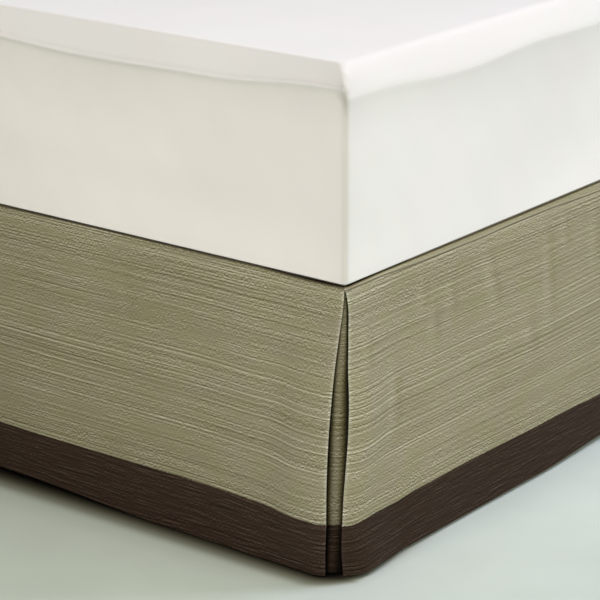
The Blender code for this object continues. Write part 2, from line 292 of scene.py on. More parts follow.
# By height in millimetres, the broad tone of the cloth, as a share of the light yarn above the
# ground, and how clearly its yarns are marked.
TONE_CHART = (
    # height, tone, marked
    (84, -0.08, 1.2), (100, -0.05, 1.1), (118, -0.02, 0.7), (132, 0.03, 0.7),
    (144, 0.02, 1.05), (158, -0.02, 1.05), (174, 0.0, 0.85), (190, -0.05, 0.85),
    (201, -0.11, 1.0), (214, 0.04, 1.0), (232, 0.0, 1.0), (252, 0.03, 0.95),
    (270, 0.0, 0.85), (290, -0.03, 0.95), (320, 0.01, 1.0), (342, -0.03, 1.1),
    (356, 0.02, 1.2), (368, 0.1, 1.3),
)
CHART_UNIT = 0.001
YARN_HALF_WIDTH = 0.0007
ROW_STEP = 7.37  # takes each row of yarn to its own part of the noise
RAMP_STOPS = 32
LEAST_STEP = 1e-4  # between two stops of a ramp
GROUND = 0.5  # the level of a ramp that leaves the ground as it is
WANDER_RATES = (9.0, 3.0, 1.0)  # how fast the yarns wander along the cloth and up it

# The noise of the shared effects.
MIDDLE = 0.5
MOST_NOISE = (0.3, 0.7)  # what most of a noise lies between
WEAVE_HEIGHT = 0.25
SPECKLE_SCALE = 620.0
SPECKLE_ROUGHNESS = 0.7
UNEVEN_ROUGHNESS = 0.55

# How painted shade darkens a cloth: what one step takes away, how dark it gets, and how much faster
# than red its green and its blue darken.
FOLD_DEPTH = 0.13
DARKEST = 0.02
WARM_SHADE = (1.08, 1.55)
WEAVE_DEPTH = 0.0004
FINE_WEAVE_DEPTH = 0.0003

# The spacing of a drop's columns of points, which is finer within some reach of a free end.
FINE_STEP = 0.0024
COARSE_STEP = 0.0078
FINE_REACH = 0.15
RIPPLE_PEAK = 1.6  # brings a sum of sines to about 1 at its highest
ROUND_EDGE = 0.45  # how far a sheet's round edge stands out, as a share of its thickness
CUT_APART = 3.0  # how far apart the pieces lie on the flat cloth that they are cut from

# The heights of a drop's rows of points, closer together where it is sewn.
PANEL_ROWS = (
    (0.3787, 0.3782),
    np.arange(0.3776, 0.3650, -0.0006),
    (0.3640,),
    np.linspace(0.362, 0.084, 34),
    BORDER_TOP + np.array([0.0048, 0.0030, 0.0018, 0.0009, GAP]),
)
BAND_ROWS = (
    BORDER_TOP - np.array([0.0, 0.0006, 0.0015, 0.0028, 0.0048]),
    np.linspace(0.068, 0.012, 8),
    (0.0085, 0.0068, HEM),
)
# The places of an insert's columns of points, closer together round its corner.
FLAT_RUNS = np.linspace(INSERT_REACH, 0.032, 18)
INSERT_RUNS = np.concatenate([-FLAT_RUNS, np.linspace(-0.028, 0.028, 57), FLAT_RUNS[::-1]])

# How a drop is sewn at its heading and at its border: a ditch, with puckers beside it.
DITCHES = (
    # depth, width, pucker, reach
    (0.0007, 0.0011, 0.00016, 0.012), (0.0008, 0.0016, 0.00018, 0.01),
)
HEADING_BLUR = 0.02
HEADING_WOBBLE = 0.0002
CREASE = 0.00045
CREASE_LEAN = 0.6
STITCH_INSET = 0.004
STITCH_SAMPLE = 0.006
STITCH_LIFT = 0.0001


class Blend(Enum):
    """How a mix node joins two colours."""

    MIX = "MIX"
    MULTIPLY = "MULTIPLY"


def ease(x: Numbers) -> Numbers:
    """Rises smoothly from 0 at x = 0 to 1 at x = 1."""
    x = np.clip(x, 0.0, 1.0)
    return x * x * (3 - 2 * x)


def bump_shape(x: Numbers) -> Numbers:
    """One soft bump: 1 at x = 0, falling to 0 at x = -1 and x = 1."""
    return np.where(np.abs(x) < 1, (1 + np.cos(np.pi * np.clip(x, -1, 1))) / 2, 0.0)


def bumps(table: tuple, place: Array) -> Array:
    """The sum of soft bumps at each place, from rows of middle, half_length and height."""
    return sum(height * bump_shape((place - middle) / half) for middle, half, height in table)


def bell(x: Numbers, middle: Numbers, width: Numbers) -> Numbers:
    """A bell curve: 1 at its middle, and already low one width away."""
    return np.exp(-(((x - middle) / width) ** 2))


def read(table: tuple, column: int, heights: Array) -> Array:
    """Reads one column of a shape table along a smooth curve through its rows.

    Args:
        table: rows that start with a height and fall from row to row.
        column: which column is read.
        heights: the heights that it is read at.

    Returns:
        The column's value at each height.
    """
    rows = np.array(table)[::-1]
    known, values = rows[:, 0], rows[:, column]
    slopes = np.gradient(values, known)
    place = np.clip(heights, known[0], known[-1])
    row = np.clip(np.searchsorted(known, place) - 1, 0, len(known) - 2)
    width = known[row + 1] - known[row]
    t = (place - known[row]) / width
    rise = (2 * t**3 - 3 * t**2 + 1) * values[row] + (3 * t**2 - 2 * t**3) * values[row + 1]
    start = (t**3 - 2 * t**2 + t) * slopes[row]
    end = (t**3 - t**2) * slopes[row + 1]
    return rise + width * (start + end)


class Ripple:
    """A smooth uneven line or surface, summed from sines of fixed random phase."""

    def __init__(self, seed: int, longest: float, shortest: float, terms: int = 7) -> None:
        """Draws the sines.

        Args:
            seed: fixes the draw.
            longest: the longest wavelength.
            shortest: the shortest wavelength.
            terms: how many sines are summed.
        """
        draw = np.random.default_rng(seed)
        lengths = np.geomspace(longest, shortest, terms)
        angles = draw.uniform(0, 2 * math.pi, terms)
        self.waves = 2 * math.pi / lengths
        self.turns = np.stack([np.cos(angles), np.sin(angles)], axis=1)
        self.phases = draw.uniform(0, 2 * math.pi, terms)
        self.sizes = lengths**0.5 / np.sum(lengths**0.5)

    def total(self, spots: list) -> Array:
        """The sum of the sines, each read at its own spots, between about -1 and 1."""
        sines = zip(self.sizes, self.waves, self.phases, spots)
        return RIPPLE_PEAK * sum(size * np.sin(wave * x + phase) for size, wave, phase, x in sines)

    def along(self, x: Array) -> Array:
        """The uneven line at x."""
        return self.total([x] * len(self.sizes))

    def over(self, x: Array, y: Array) -> Array:
        """The uneven surface at x and y."""
        return self.total([turn[0] * x + turn[1] * y for turn in self.turns])


def unit(vectors: Array) -> Array:
    """The vectors scaled to length 1."""
    length = np.linalg.norm(vectors, axis=-1, keepdims=True)
    return vectors / np.maximum(length, 1e-12)


def mesh_object(
    name: str,
    points: Array,
    faces: list,
    material: Material,
    cut: Array | None = None,
    marks: dict | None = None,
) -> Object:
    """Makes a smooth object from points and faces.

    Args:
        name: the object's name.
        points: the points, one a row.
        faces: the faces, as lists of point numbers.
        material: the finish of the whole piece.
        cut: each point's place on the flat cloth in metres, for the piece's own map.
        marks: values at the points that its finish reads, by their attribute's name.

    Returns:
        The new object, linked to the scene.
    """
    mesh = bpy.data.meshes.new(name)
    mesh.from_pydata(points.tolist(), [], faces)
    if cut is not None:
        corners = np.empty(len(mesh.loops), np.int32)
        mesh.loops.foreach_get("vertex_index", corners)
        layer = mesh.uv_layers.new(name=CLOTH_MAP)
        layer.data.foreach_set("uv", cut[corners].astype(np.float32).ravel())
    for key, values in (marks or {}).items():
        layer = mesh.attributes.new(key, "FLOAT", "POINT")
        layer.data.foreach_set("value", values.astype(np.float32))
    mesh.materials.append(material)
    mesh.shade_smooth()
    obj = bpy.data.objects.new(name, mesh)
    bpy.context.collection.objects.link(obj)
    return obj


def grid_faces(first: Array, turned: bool = False) -> list:
    """The quads of a grid of point numbers, seen from where its columns run right, or turned."""
    corners = (first[:-1, :-1], first[1:, :-1], first[1:, 1:], first[:-1, 1:])
    return np.stack(corners[::-1] if turned else corners, axis=-1).reshape(-1, 4).tolist()


def border_of(numbers: Array) -> Array:
    """The numbers round a grid, clockwise from its first corner."""
    sides = (numbers[0, :-1], numbers[:-1, -1], numbers[-1, :0:-1], numbers[:0:-1, 0])
    return np.concatenate(sides)


def sheet_object(
    name: str,
    face: Array,
    cut: Array,
    thickness: float,
    material: Material,
    marks: dict,
    turned: bool = False,
) -> Object:
    """Makes a closed sheet of cloth with round edges from a grid of its outer face.

    Args:
        name: the object's name.
        face: points of the outer face. Seen from outside, rows run down and columns right.
        cut: the same points' places on the flat cloth.
        thickness: how thick the cloth is.
        material: the cloth's finish.
        marks: values at the same points that the finish reads, by their attribute's name.
        turned: whether the columns run left instead.

    Returns:
        The new object.
    """
    if turned:
        face, cut = face[:, ::-1], cut[:, ::-1]
        marks = {key: values[:, ::-1] for key, values in marks.items()}
    down = unit(np.gradient(face, axis=0))
    right = unit(np.gradient(face, axis=1))
    inner = face - unit(np.cross(right, -down)) * thickness
    away = np.zeros_like(face)
    away[0] -= down[0]
    away[-1] += down[-1]
    away[:, 0] -= right[:, 0]
    away[:, -1] += right[:, -1]
    rounded = (face + inner) / 2 + ROUND_EDGE * thickness * unit(away)
    rows, columns = face.shape[:2]
    outer_numbers = np.arange(rows * columns).reshape(rows, columns)
    inner_numbers = outer_numbers + rows * columns
    ring = border_of(outer_numbers)
    rim = np.arange(len(ring)) + 2 * rows * columns
    points = np.concatenate(
        [face.reshape(-1, 3), inner.reshape(-1, 3), rounded.reshape(-1, 3)[ring]]
    )
    faces = grid_faces(outer_numbers) + grid_faces(inner_numbers, turned=True)
    for a, b in ((ring, rim), (rim, ring + rows * columns)):
        faces += np.stack([a, np.roll(a, -1), np.roll(b, -1), b], axis=1).tolist()
    numbers = np.concatenate([outer_numbers.ravel(), outer_numbers.ravel(), ring])
    marks = {key: values.ravel()[numbers] for key, values in marks.items()}
    return mesh_object(name, points, faces, material, cut.reshape(-1, 2)[numbers], marks)


def lathe_object(
    name: str, centre: tuple, profile: tuple, sides: int, material: Material
) -> Object:
    """Turns a closed body round an upright axis.

    Args:
        name: the object's name.
        centre: x and y of the axis.
        profile: (height, radius) rows from the top down.
        sides: how many points go round.
        material: the finish.

    Returns:
        The new object.
    """
    angles = np.arange(sides) * 2 * math.pi / sides
    x, y = np.cos(angles), np.sin(angles)
    rings = [np.stack([centre[0] + r * x, centre[1] + r * y, 0 * x + z], 1) for z, r in profile]
    return mesh_object(name, np.concatenate(rings), tube_faces(len(rings), sides), material)


def tube_faces(rows: int, sides: int) -> list:
    """The faces of a closed body whose rings run from the top down, with both ends filled.

    Args:
        rows: how many rings there are.
        sides: how many points each ring has.

    Returns:
        The faces, as lists of point numbers.
    """
    numbers = np.arange(rows * sides).reshape(rows, sides)
    wrapped = np.concatenate([numbers, numbers[:, :1]], axis=1)
    return grid_faces(wrapped) + [numbers[0].tolist(), numbers[-1, ::-1].tolist()]


class Graph:
    """Adds nodes to one node tree and links them, so that a finish reads from top to bottom.

    Every value and colour that it gives is a socket.
    """

    def __init__(self, tree: Tree) -> None:
        """Starts on a tree."""
        self.tree = tree

    def feed(self, node: Node, inputs: dict) -> Node:
        """Feeds a node.

        Args:
            node: the node.
            inputs: its inputs by name or position, each with a value or the socket that feeds it.

        Returns:
            The node.
        """
        for key, value in inputs.items():
            if isinstance(value, Socket):
                self.tree.links.new(value, node.inputs[key])
            else:
                node.inputs[key].default_value = value
        return node

    def add(self, kind: str, inputs: dict | None = None, **settings: object) -> Node:
        """Adds a node.

        Args:
            kind: the node's type.
            inputs: what feeds it.
            settings: the node's own properties.

        Returns:
            The node.
        """
        node = self.tree.nodes.new(kind)
        for key, value in settings.items():
            setattr(node, key, value)
        return self.feed(node, inputs or {})

    def place(self, group: Tree, inputs: dict) -> Sockets:
        """Puts a node group into this tree and gives its outputs."""
        return self.add("ShaderNodeGroup", inputs, node_tree=group).outputs

    def mark(self, name: str) -> Socket:
        """A value that the piece's points carry."""
        return self.add("ShaderNodeAttribute", attribute_name=name).outputs["Fac"]

    def math(
        self, operation: str, a: Value, b: Value = 0.0, c: Value = 0.0, clamp: bool = False
    ) -> Socket:
        """One sum of up to three values."""
        inputs = {0: a, 1: b, 2: c}
        return self.add("ShaderNodeMath", inputs, operation=operation, use_clamp=clamp).outputs[0]

    def plus(self, a: Value, b: Value, clamp: bool = False) -> Socket:
        """Two values added."""
        return self.math("ADD", a, b, clamp=clamp)

    def less(self, a: Value, b: Value, clamp: bool = False) -> Socket:
        """The first value less the second."""
        return self.math("SUBTRACT", a, b, clamp=clamp)

    def times(self, a: Value, b: Value, clamp: bool = False) -> Socket:
        """Two values multiplied."""
        return self.math("MULTIPLY", a, b, clamp=clamp)

    def ratio(self, a: Value, b: Value, clamp: bool = False) -> Socket:
        """The first value divided by the second."""
        return self.math("DIVIDE", a, b, clamp=clamp)

    def blend_in(self, part: Value, strength: float, level: Value) -> Socket:
        """A part times its strength, added to a level."""
        return self.math("MULTIPLY_ADD", part, strength, level)

    def line(self, value: Value, middle: float, half: float) -> Socket:
        """1 where a value is the line's middle, falling to 0 at half its width."""
        away = self.math("ABSOLUTE", self.less(value, middle))
        return self.less(1.0, self.ratio(away, half), clamp=True)

    def scale(self, vector: Socket, factors: tuple) -> Socket:
        """A vector multiplied axis by axis."""
        node = self.add("ShaderNodeVectorMath", {0: vector, 1: factors}, operation="MULTIPLY")
        return node.outputs[0]

    def split(self, vector: Socket) -> Sockets:
        """The X, Y and Z sockets of a vector."""
        return self.add("ShaderNodeSeparateXYZ", {0: vector}).outputs

    def noise(
        self, vector: Socket, scale: float = 1.0, detail: float = 2.0, roughness: float = 0.5
    ) -> Socket:
        """A noise texture's value, from 0 to 1."""
        inputs = {"Vector": vector, "Scale": scale, "Detail": detail, "Roughness": roughness}
        return self.add("ShaderNodeTexNoise", inputs).outputs[0]

    def cells(self, along: Value, up: Value, length: Value, pitch: Value, detail: float) -> Socket:
        """Noise in cells of some length along the cloth and some pitch up it, from 0 to 1."""
        sides = {0: self.ratio(along, length), 1: self.ratio(up, pitch)}
        return self.noise(self.add("ShaderNodeCombineXYZ", sides).outputs[0], detail=detail)

    def contrast(self, along: Value, row: Value, length: Value) -> Socket:
        """How each row differs from the two rows above it.

        Args:
            along: the place along the cloth.
            row: the row's number.
            length: how long the row's noise is.

        Returns:
            Its own noise less the others' mean.
        """
        level = 0.0
        for above, share in ((0.0, 1.0), (1.0, -0.5), (2.0, -0.5)):
            step = self.times(self.plus(row, above), ROW_STEP)
            level = self.blend_in(self.cells(along, step, length, 1.0, 0.0), share, level)
        return level

    def span(
        self, value: Value, low: float, high: float, to_low: float = 0.0, to_high: float = 1.0
    ) -> Socket:
        """A value mapped smoothly from one range to another and held at its ends."""
        inputs = {0: value, 1: low, 2: high, 3: to_low, 4: to_high}
        return self.add("ShaderNodeMapRange", inputs, interpolation_type="SMOOTHSTEP").outputs[0]

    def mix(self, factor: Value, a: Value, b: Value, blend: Blend = Blend.MIX) -> Socket:
        """The second colour mixed into the first, as far as the factor says."""
        inputs = {0: factor, 6: a, 7: b}
        return self.add("ShaderNodeMix", inputs, data_type="RGBA", blend_type=blend.value).outputs[2]

    def dimmed(self, colour: Socket, red: Value, green: Value, blue: Value) -> Socket:
        """A colour with each channel multiplied by its own level."""
        levels = self.add("ShaderNodeCombineColor", {0: red, 1: green, 2: blue}).outputs[0]
        return self.mix(1.0, colour, levels, Blend.MULTIPLY)

    def ramp(self, value: Socket, stops: list) -> Sockets:
        """Up to three curves of a value, read through one colour ramp.

        Args:
            value: the socket that is read.
            stops: rows of a position and the curves' levels there, each from 0 to 1.

        Returns:
            The curves, as sockets.
        """
        node = self.add("ShaderNodeValToRGB", {0: value})
        elements = node.color_ramp.elements
        elements.remove(elements[-1])
        for row, (position, *levels) in enumerate(stops):
            stop = elements.new(position) if row else elements[0]
            stop.position = position
            stop.color = (*levels, *[0.0] * (3 - len(levels)), 1.0)
        return self.add("ShaderNodeSeparateColor", {0: node.outputs[0]}).outputs

    def finish(
        self, shader: Node, colour: Socket, height: Socket, strength: float, depth: float
    ) -> None:
        """Gives a shader its colour, and a bump of some height with its strength and depth."""
        fed = {"Height": height, "Strength": strength, "Distance": depth}
        self.feed(shader, {"Base Color": colour, "Normal": self.add("ShaderNodeBump", fed).outputs[0]})


def effect_group(name: str, inputs: dict, outputs: tuple) -> tuple:
    """Starts a shader node group for an effect that several finishes share.

    Args:
        name: the group's name.
        inputs: socket names with their type and first value.
        outputs: names of the values that it puts out.

    Returns:
        The graph, the group's inputs by name, and its node of outputs, which is still to be fed.
    """
    tree = bpy.data.node_groups.new(name, "ShaderNodeTree")
    for key, (kind, value) in inputs.items():
        socket = tree.interface.new_socket(key, in_out="INPUT", socket_type=kind)
        if value is not None:
            socket.default_value = value
    for key in outputs:
        tree.interface.new_socket(key, in_out="OUTPUT", socket_type=FLOAT)
    graph = Graph(tree)
    return graph, graph.add("NodeGroupInput").outputs, graph.add("NodeGroupOutput")


def charted_yarns() -> list:
    """The charted yarns from the bottom up, as (height, yarn) rows in metres."""
    rows = [(mm * CHART_UNIT, yarn) for yarn, heights in YARN_CHART.items() for mm in heights]
    return sorted(rows, key=lambda row: row[0])


def chart_stops(low: float, high: float) -> list:
    """The ramp stops that draw the charted yarns between two heights.

    Args:
        low: the lower height, which is position 0.
        high: the upper height, which is position 1.

    Returns:
        (position, level) rows. A level above the ground is a lighter yarn.
    """
    stops = [(0.0, GROUND)]
    for height, yarn in charted_yarns():
        if not low < height < high:
            continue
        for offset, share in ((-YARN_HALF_WIDTH, 0.0), (0.0, 1.0), (YARN_HALF_WIDTH, 0.0)):
            position = (height + offset - low) / (high - low)
            level = GROUND + share * yarn.value / 2
            if position > stops[-1][0] + LEAST_STEP:
                stops.append((position, level))
            elif share:
                stops[-1] = (position, level)
    return stops


def yarn_bands() -> list:
    """The heights between which the charted yarns fit one ramp each.

    Returns:
        (low, high) rows from the bottom up.
    """
    heights = [height for height, _ in charted_yarns()]
    firsts = range((RAMP_STOPS - 2) // 3, len(heights), (RAMP_STOPS - 2) // 3)
    inner = [(heights[first - 1] + heights[first]) / 2 for first in firsts]
    edges = [heights[0] - 2 * YARN_HALF_WIDTH, *inner, heights[-1] + 2 * YARN_HALF_WIDTH]
    return list(zip(edges, edges[1:]))


@dataclass(frozen=True)
class Patches:
    """Long patches of a cloth in which its yarns show more or less."""

    length: float
    height: float
    noise: tuple
    strength: tuple

    def level(self, graph: Graph, along: Socket, up: Socket) -> Socket:
        """How strongly the yarns show."""
        noise = graph.cells(along, up, self.length, self.height, 2.0)
        return graph.span(noise, *self.noise, *self.strength)


FADING = Patches(length=0.220, height=0.0036, noise=(0.32, 0.66), strength=(0.72, 1.25))
CALM = Patches(length=0.070, height=0.013, noise=(0.30, 0.62), strength=(0.45, 1.20))


def slub_group() -> Tree:
    """The slub yarns of the cloth: the charted ones, which fade along it, and finer ones.

    The finer yarns lie in rows, each with its own tone, and Dashes are their short thick places.

    Returns:
        The group, whose outputs are above 0 where the cloth is lighter than its ground.
    """
    inputs = {
        "Cloth": (VECTOR, None),
        "Wander": (FLOAT, 0.0007),
        "Row Pitch": (FLOAT, 0.00107),
        "Yarn Length": (FLOAT, 0.280),
        "Dash Length": (FLOAT, 0.0024),
    }
    outputs = ("Charted", "Tone", "Yarns", "Dashes")
    graph, given, given_out = effect_group("slub_yarns", inputs, outputs)
    cloth = given["Cloth"]
    along, up, _ = graph.split(cloth)
    drift = graph.noise(graph.scale(cloth, WANDER_RATES), detail=1.0)
    height = graph.plus(up, graph.times(graph.less(drift, MIDDLE), given["Wander"]))
    charted = 0.0
    for low, high in yarn_bands():
        position = graph.ratio(graph.less(height, low), high - low)
        level = graph.ramp(position, [*chart_stops(low, high), (1.0, GROUND)])[0]
        charted = graph.plus(charted, graph.less(level, GROUND))
    first, last = (TONE_CHART[row][0] for row in (0, -1))
    stops = [((mm - first) / (last - first), GROUND + t, m / 2) for mm, t, m in TONE_CHART]
    low, high = first * CHART_UNIT, last * CHART_UNIT
    curves = graph.ramp(graph.ratio(graph.less(up, low), high - low, clamp=True), stops)
    charted = graph.times(graph.times(charted, FADING.level(graph, along, height)), curves[1])
    marked = graph.times(graph.times(curves[1], 2.0), CALM.level(graph, along, up))
    row = graph.math("FLOOR", graph.ratio(height, given["Row Pitch"]))
    yarns, dashes = (
        graph.times(graph.contrast(along, row, given[length]), marked)
        for length in ("Yarn Length", "Dash Length")
    )
    values = (charted, graph.less(curves[0], GROUND), yarns, dashes)
    graph.feed(given_out, dict(zip(outputs, values)))
    return graph.tree


def weave_group() -> Tree:
    """The plain weave of a cloth: threads over and under each other, and a soft speckle.

    Returns:
        The group.
    """
    inputs = {"Place": (VECTOR, None), "Threads": (FLOAT, 1400.0)}
    graph, given, given_out = effect_group("plain_weave", inputs, ("Height", "Speckle"))
    place = given["Place"]
    rate = graph.times(given["Threads"], math.pi)
    x, y, z = (graph.math("SINE", graph.times(axis, rate)) for axis in graph.split(place))
    height = graph.times(graph.plus(graph.plus(x, y), z), WEAVE_HEIGHT)
    speckle = graph.noise(place, SPECKLE_SCALE, roughness=SPECKLE_ROUGHNESS)
    graph.feed(given_out, {"Height": height, "Speckle": speckle})
    return graph.tree


def unevenness_group() -> Tree:
    """Broad soft changes of tone over a surface, as dye, handling and dust leave them.

    Returns:
        The group.
    """
    inputs = {"Place": (VECTOR, None), "Scale": (FLOAT, 6.0)}
    graph, given, given_out = effect_group("uneven_tone", inputs, ("Tone",))
    fed = {0: given["Place"], "Scale": given["Scale"]}
    place = graph.add("ShaderNodeVectorMath", fed, operation="SCALE").outputs[0]
    tone = graph.noise(place, detail=3.0, roughness=UNEVEN_ROUGHNESS)
    graph.feed(given_out, {"Tone": tone})
    return graph.tree


@dataclass(frozen=True)
class Effects:
    """The node groups that the finishes share."""

    slubs: Tree
    weave: Tree
    tone: Tree

    @classmethod
    def build(cls) -> Effects:
        """Builds each group once."""
        return cls(slub_group(), weave_group(), unevenness_group())

    def uneven(self, graph: Graph, place: Socket, scale: float) -> Socket:
        """A broad uneven tone from 0 to 1."""
        return graph.place(self.tone, {"Place": place, "Scale": scale})["Tone"]


def rgba(colour: tuple) -> tuple:
    """A colour with full alpha."""
    return (*colour, 1.0)


def new_material(name: str, **sockets: float) -> tuple:
    """Starts a material.

    Args:
        name: the material's name.
        sockets: values of the shader's own sockets, with _ for each space.

    Returns:
        The material, its graph and its shader node.
    """
    material = bpy.data.materials.new(name)
    material.use_nodes = True
    shader = material.node_tree.nodes["Principled BSDF"]
    for key, value in sockets.items():
        shader.inputs[key.replace("_", " ")].default_value = value
    return material, Graph(material.node_tree), shader


def shaded(graph: Graph, colour: Socket, level: Value = 1.0) -> Socket:
    """A colour darkened by the piece's painted shade, and lightened by its painted highlight.

    Args:
        graph: the material's graph.
        colour: the colour.
        level: what the colour is multiplied by as well.

    Returns:
        The shaded colour.
    """
    shade = graph.blend_in(graph.mark(PAINTED_SHADE), -FOLD_DEPTH, level)
    shade = graph.math("MAXIMUM", shade, DARKEST)
    green, blue = (graph.math("POWER", shade, depth) for depth in WARM_SHADE)
    return graph.dimmed(colour, shade, green, blue)


def yarned(graph: Graph, level: Socket, ground: Value, yarns: tuple, cover: tuple) -> Socket:
    """The colour of a ground with its lighter and its darker yarns.

    Args:
        graph: the material's graph.
        level: how far each place lies above the ground, or below it.
        ground: the ground's colour.
        yarns: the light yarns' colour and the dark yarns'.
        cover: how much of each a step of the level brings in.

    Returns:
        The colour.
    """
    light, dark = (graph.math(side, level, 0.0) for side in ("MAXIMUM", "MINIMUM"))
    colour = graph.mix(graph.times(light, cover[0], clamp=True), ground, rgba(yarns[0]))
    return graph.mix(graph.times(dark, -cover[1], clamp=True), colour, rgba(yarns[1]))


@dataclass(frozen=True)
class BedOutline:
    """The outline of the mattress's sides, which the skirt is cut to."""

    left: float
    right: float
    foot: float
    head: float

    @classmethod
    def from_frame(cls, ridge: float = 0.0012) -> BedOutline:
        """Reads the outline from the mattress's solid, whose ridge stands a little proud."""
        low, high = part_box("bed_mattress")
        return cls(low[0] + ridge, high[0] - ridge, low[1] + ridge, high[1] - ridge)

    @property
    def width(self) -> float:
        """The outline's width."""
        return self.right - self.left

    @property
    def length(self) -> float:
        """The outline's length."""
        return self.head - self.foot


@dataclass(frozen=True)
class StriatedCloth:
    """The khaki cloth of the drops and inserts, with its uneven light and dark yarns."""

    effects: Effects
    green_ground: tuple = (0.262, 0.252, 0.137)
    grey_ground: tuple = (0.274, 0.248, 0.157)
    light_yarn: tuple = (0.585, 0.552, 0.415)
    dark_yarn: tuple = (0.088, 0.073, 0.028)
    cover: tuple = (0.62, 0.62)
    # How strongly each kind of yarn shows.
    strengths: tuple = (("Charted", 7.00), ("Yarns", 2.40), ("Dashes", 3.30))
    threads: float = 1250.0
    hue_scale: float = 26.0
    tone_scale: float = 7.0
    tone: tuple = (0.97, 1.03)
    # The heading, by height above its seam: the plain turned strip, a painted highlight on the ridge
    # and painted shade in the seam's ditch.
    strip: tuple = (0.0004, 0.0014)
    strip_cover: float = 0.55
    strip_colour: tuple = (0.330, 0.300, 0.185)
    ridge_middle: float = 0.0030
    ridge_half: float = 0.0018
    ridge_highlight: float = 0.30
    seam_half: float = 0.0015
    seam_shade_colour: tuple = (0.080, 0.066, 0.034)

    def build(self) -> Material:
        """Makes the material.

        Returns:
            The material.
        """
        sheen = {"Sheen_Weight": 0.06, "Sheen_Roughness": 0.5}
        material, graph, shader = new_material(
            "striated_cloth_finish", Roughness=0.88, Specular_IOR_Level=0.25, **sheen
        )
        cloth = graph.add("ShaderNodeUVMap", uv_map=CLOTH_MAP).outputs[0]
        slubs = graph.place(self.effects.slubs, {"Cloth": cloth})
        weave = graph.place(self.effects.weave, {"Place": cloth, "Threads": self.threads})
        level = slubs["Tone"]
        for kind, strength in self.strengths:
            level = graph.blend_in(slubs[kind], strength, level)
        hue = graph.span(self.effects.uneven(graph, cloth, self.hue_scale), *MOST_NOISE)
        ground = graph.mix(hue, rgba(self.green_ground), rgba(self.grey_ground))
        colour = yarned(graph, level, ground, (self.light_yarn, self.dark_yarn), self.cover)
        tone = self.effects.uneven(graph, cloth, self.tone_scale)
        tone = graph.span(tone, *MOST_NOISE, *self.tone)
        colour = shaded(graph, self.sewn(graph, colour), tone)
        graph.finish(shader, colour, graph.blend_in(level, 0.5, weave["Height"]), 0.20, WEAVE_DEPTH)
        return material

    def sewn(self, graph: Graph, colour: Socket) -> Socket:
        """Painted shade in the heading seam, the plain turned strip above and a painted highlight.

        Args:
            graph: the material's graph.
            colour: the cloth's colour.

        Returns:
            The colour.
        """
        above = graph.less(graph.mark(HEADING_PLACE), 1.0)
        strip = graph.times(graph.span(above, *self.strip), self.strip_cover)
        colour = graph.mix(strip, colour, rgba(self.strip_colour))
        ridge = graph.line(above, self.ridge_middle, self.ridge_half)
        ridge = graph.times(ridge, self.ridge_highlight)
        colour = graph.mix(ridge, colour, rgba(self.light_yarn))
        return graph.mix(graph.line(above, 0.0, self.seam_half), colour, rgba(self.seam_shade_colour))


@dataclass(frozen=True)
class BorderCloth:
    """The dark brown cloth of the border bands, with faint lighter slubs along it."""

    effects: Effects
    ground: tuple = (0.0310, 0.0184, 0.0104)
    light_yarn: tuple = (0.0960, 0.0660, 0.0446)
    dark_yarn: tuple = (0.0125, 0.0077, 0.0048)
    cover: tuple = (0.6, 0.9)
    strengths: tuple = (("Yarns", 2.0), ("Dashes", 1.4))
    row_pitch: float = 0.0014
    yarn_length: float = 0.045
    threads: float = 1250.0

    def build(self) -> Material:
        """Makes the material.

        Returns:
            The material.
        """
        sheen = {"Sheen_Weight": 0.02, "Sheen_Roughness": 0.45}
        material, graph, shader = new_material(
            "border_cloth_finish", Roughness=0.85, Specular_IOR_Level=0.12, **sheen
        )
        cloth = graph.add("ShaderNodeUVMap", uv_map=CLOTH_MAP).outputs[0]
        sizes = {"Cloth": cloth, "Row Pitch": self.row_pitch, "Yarn Length": self.yarn_length}
        slubs = graph.place(self.effects.slubs, sizes)
        weave = graph.place(self.effects.weave, {"Place": cloth, "Threads": self.threads})
        level = 0.0
        for kind, strength in self.strengths:
            level = graph.blend_in(slubs[kind], strength, level)
        yarns = (self.light_yarn, self.dark_yarn)
        colour = shaded(graph, yarned(graph, level, rgba(self.ground), yarns, self.cover))
        graph.finish(shader, colour, graph.blend_in(level, 0.6, weave["Height"]), 0.30, WEAVE_DEPTH)
        return material


@dataclass(frozen=True)
class PlainCloth:
    """A plain woven cloth or thread with soft changes of tone."""

    effects: Effects
    name: str
    light: tuple
    shade: tuple
    threads: float = 1600.0
    bump: float = 0.15
    tone_scale: float = 5.0
    speckle: float = 0.3

    def build(self) -> Material:
        """Makes the material.

        Returns:
            The material.
        """
        material, graph, shader = new_material(
            self.name, Roughness=0.85, Sheen_Weight=0.08, Sheen_Roughness=0.5
        )
        place = graph.add("ShaderNodeTexCoord").outputs["Object"]
        weave = graph.place(self.effects.weave, {"Place": place, "Threads": self.threads})
        tone = graph.span(self.effects.uneven(graph, place, self.tone_scale), *MOST_NOISE)
        speckle = graph.times(graph.less(weave["Speckle"], MIDDLE), self.speckle)
        factor = graph.plus(tone, speckle, clamp=True)
        colour = graph.mix(factor, rgba(self.shade), rgba(self.light))
        graph.finish(shader, colour, weave["Height"], self.bump, FINE_WEAVE_DEPTH)
        return material


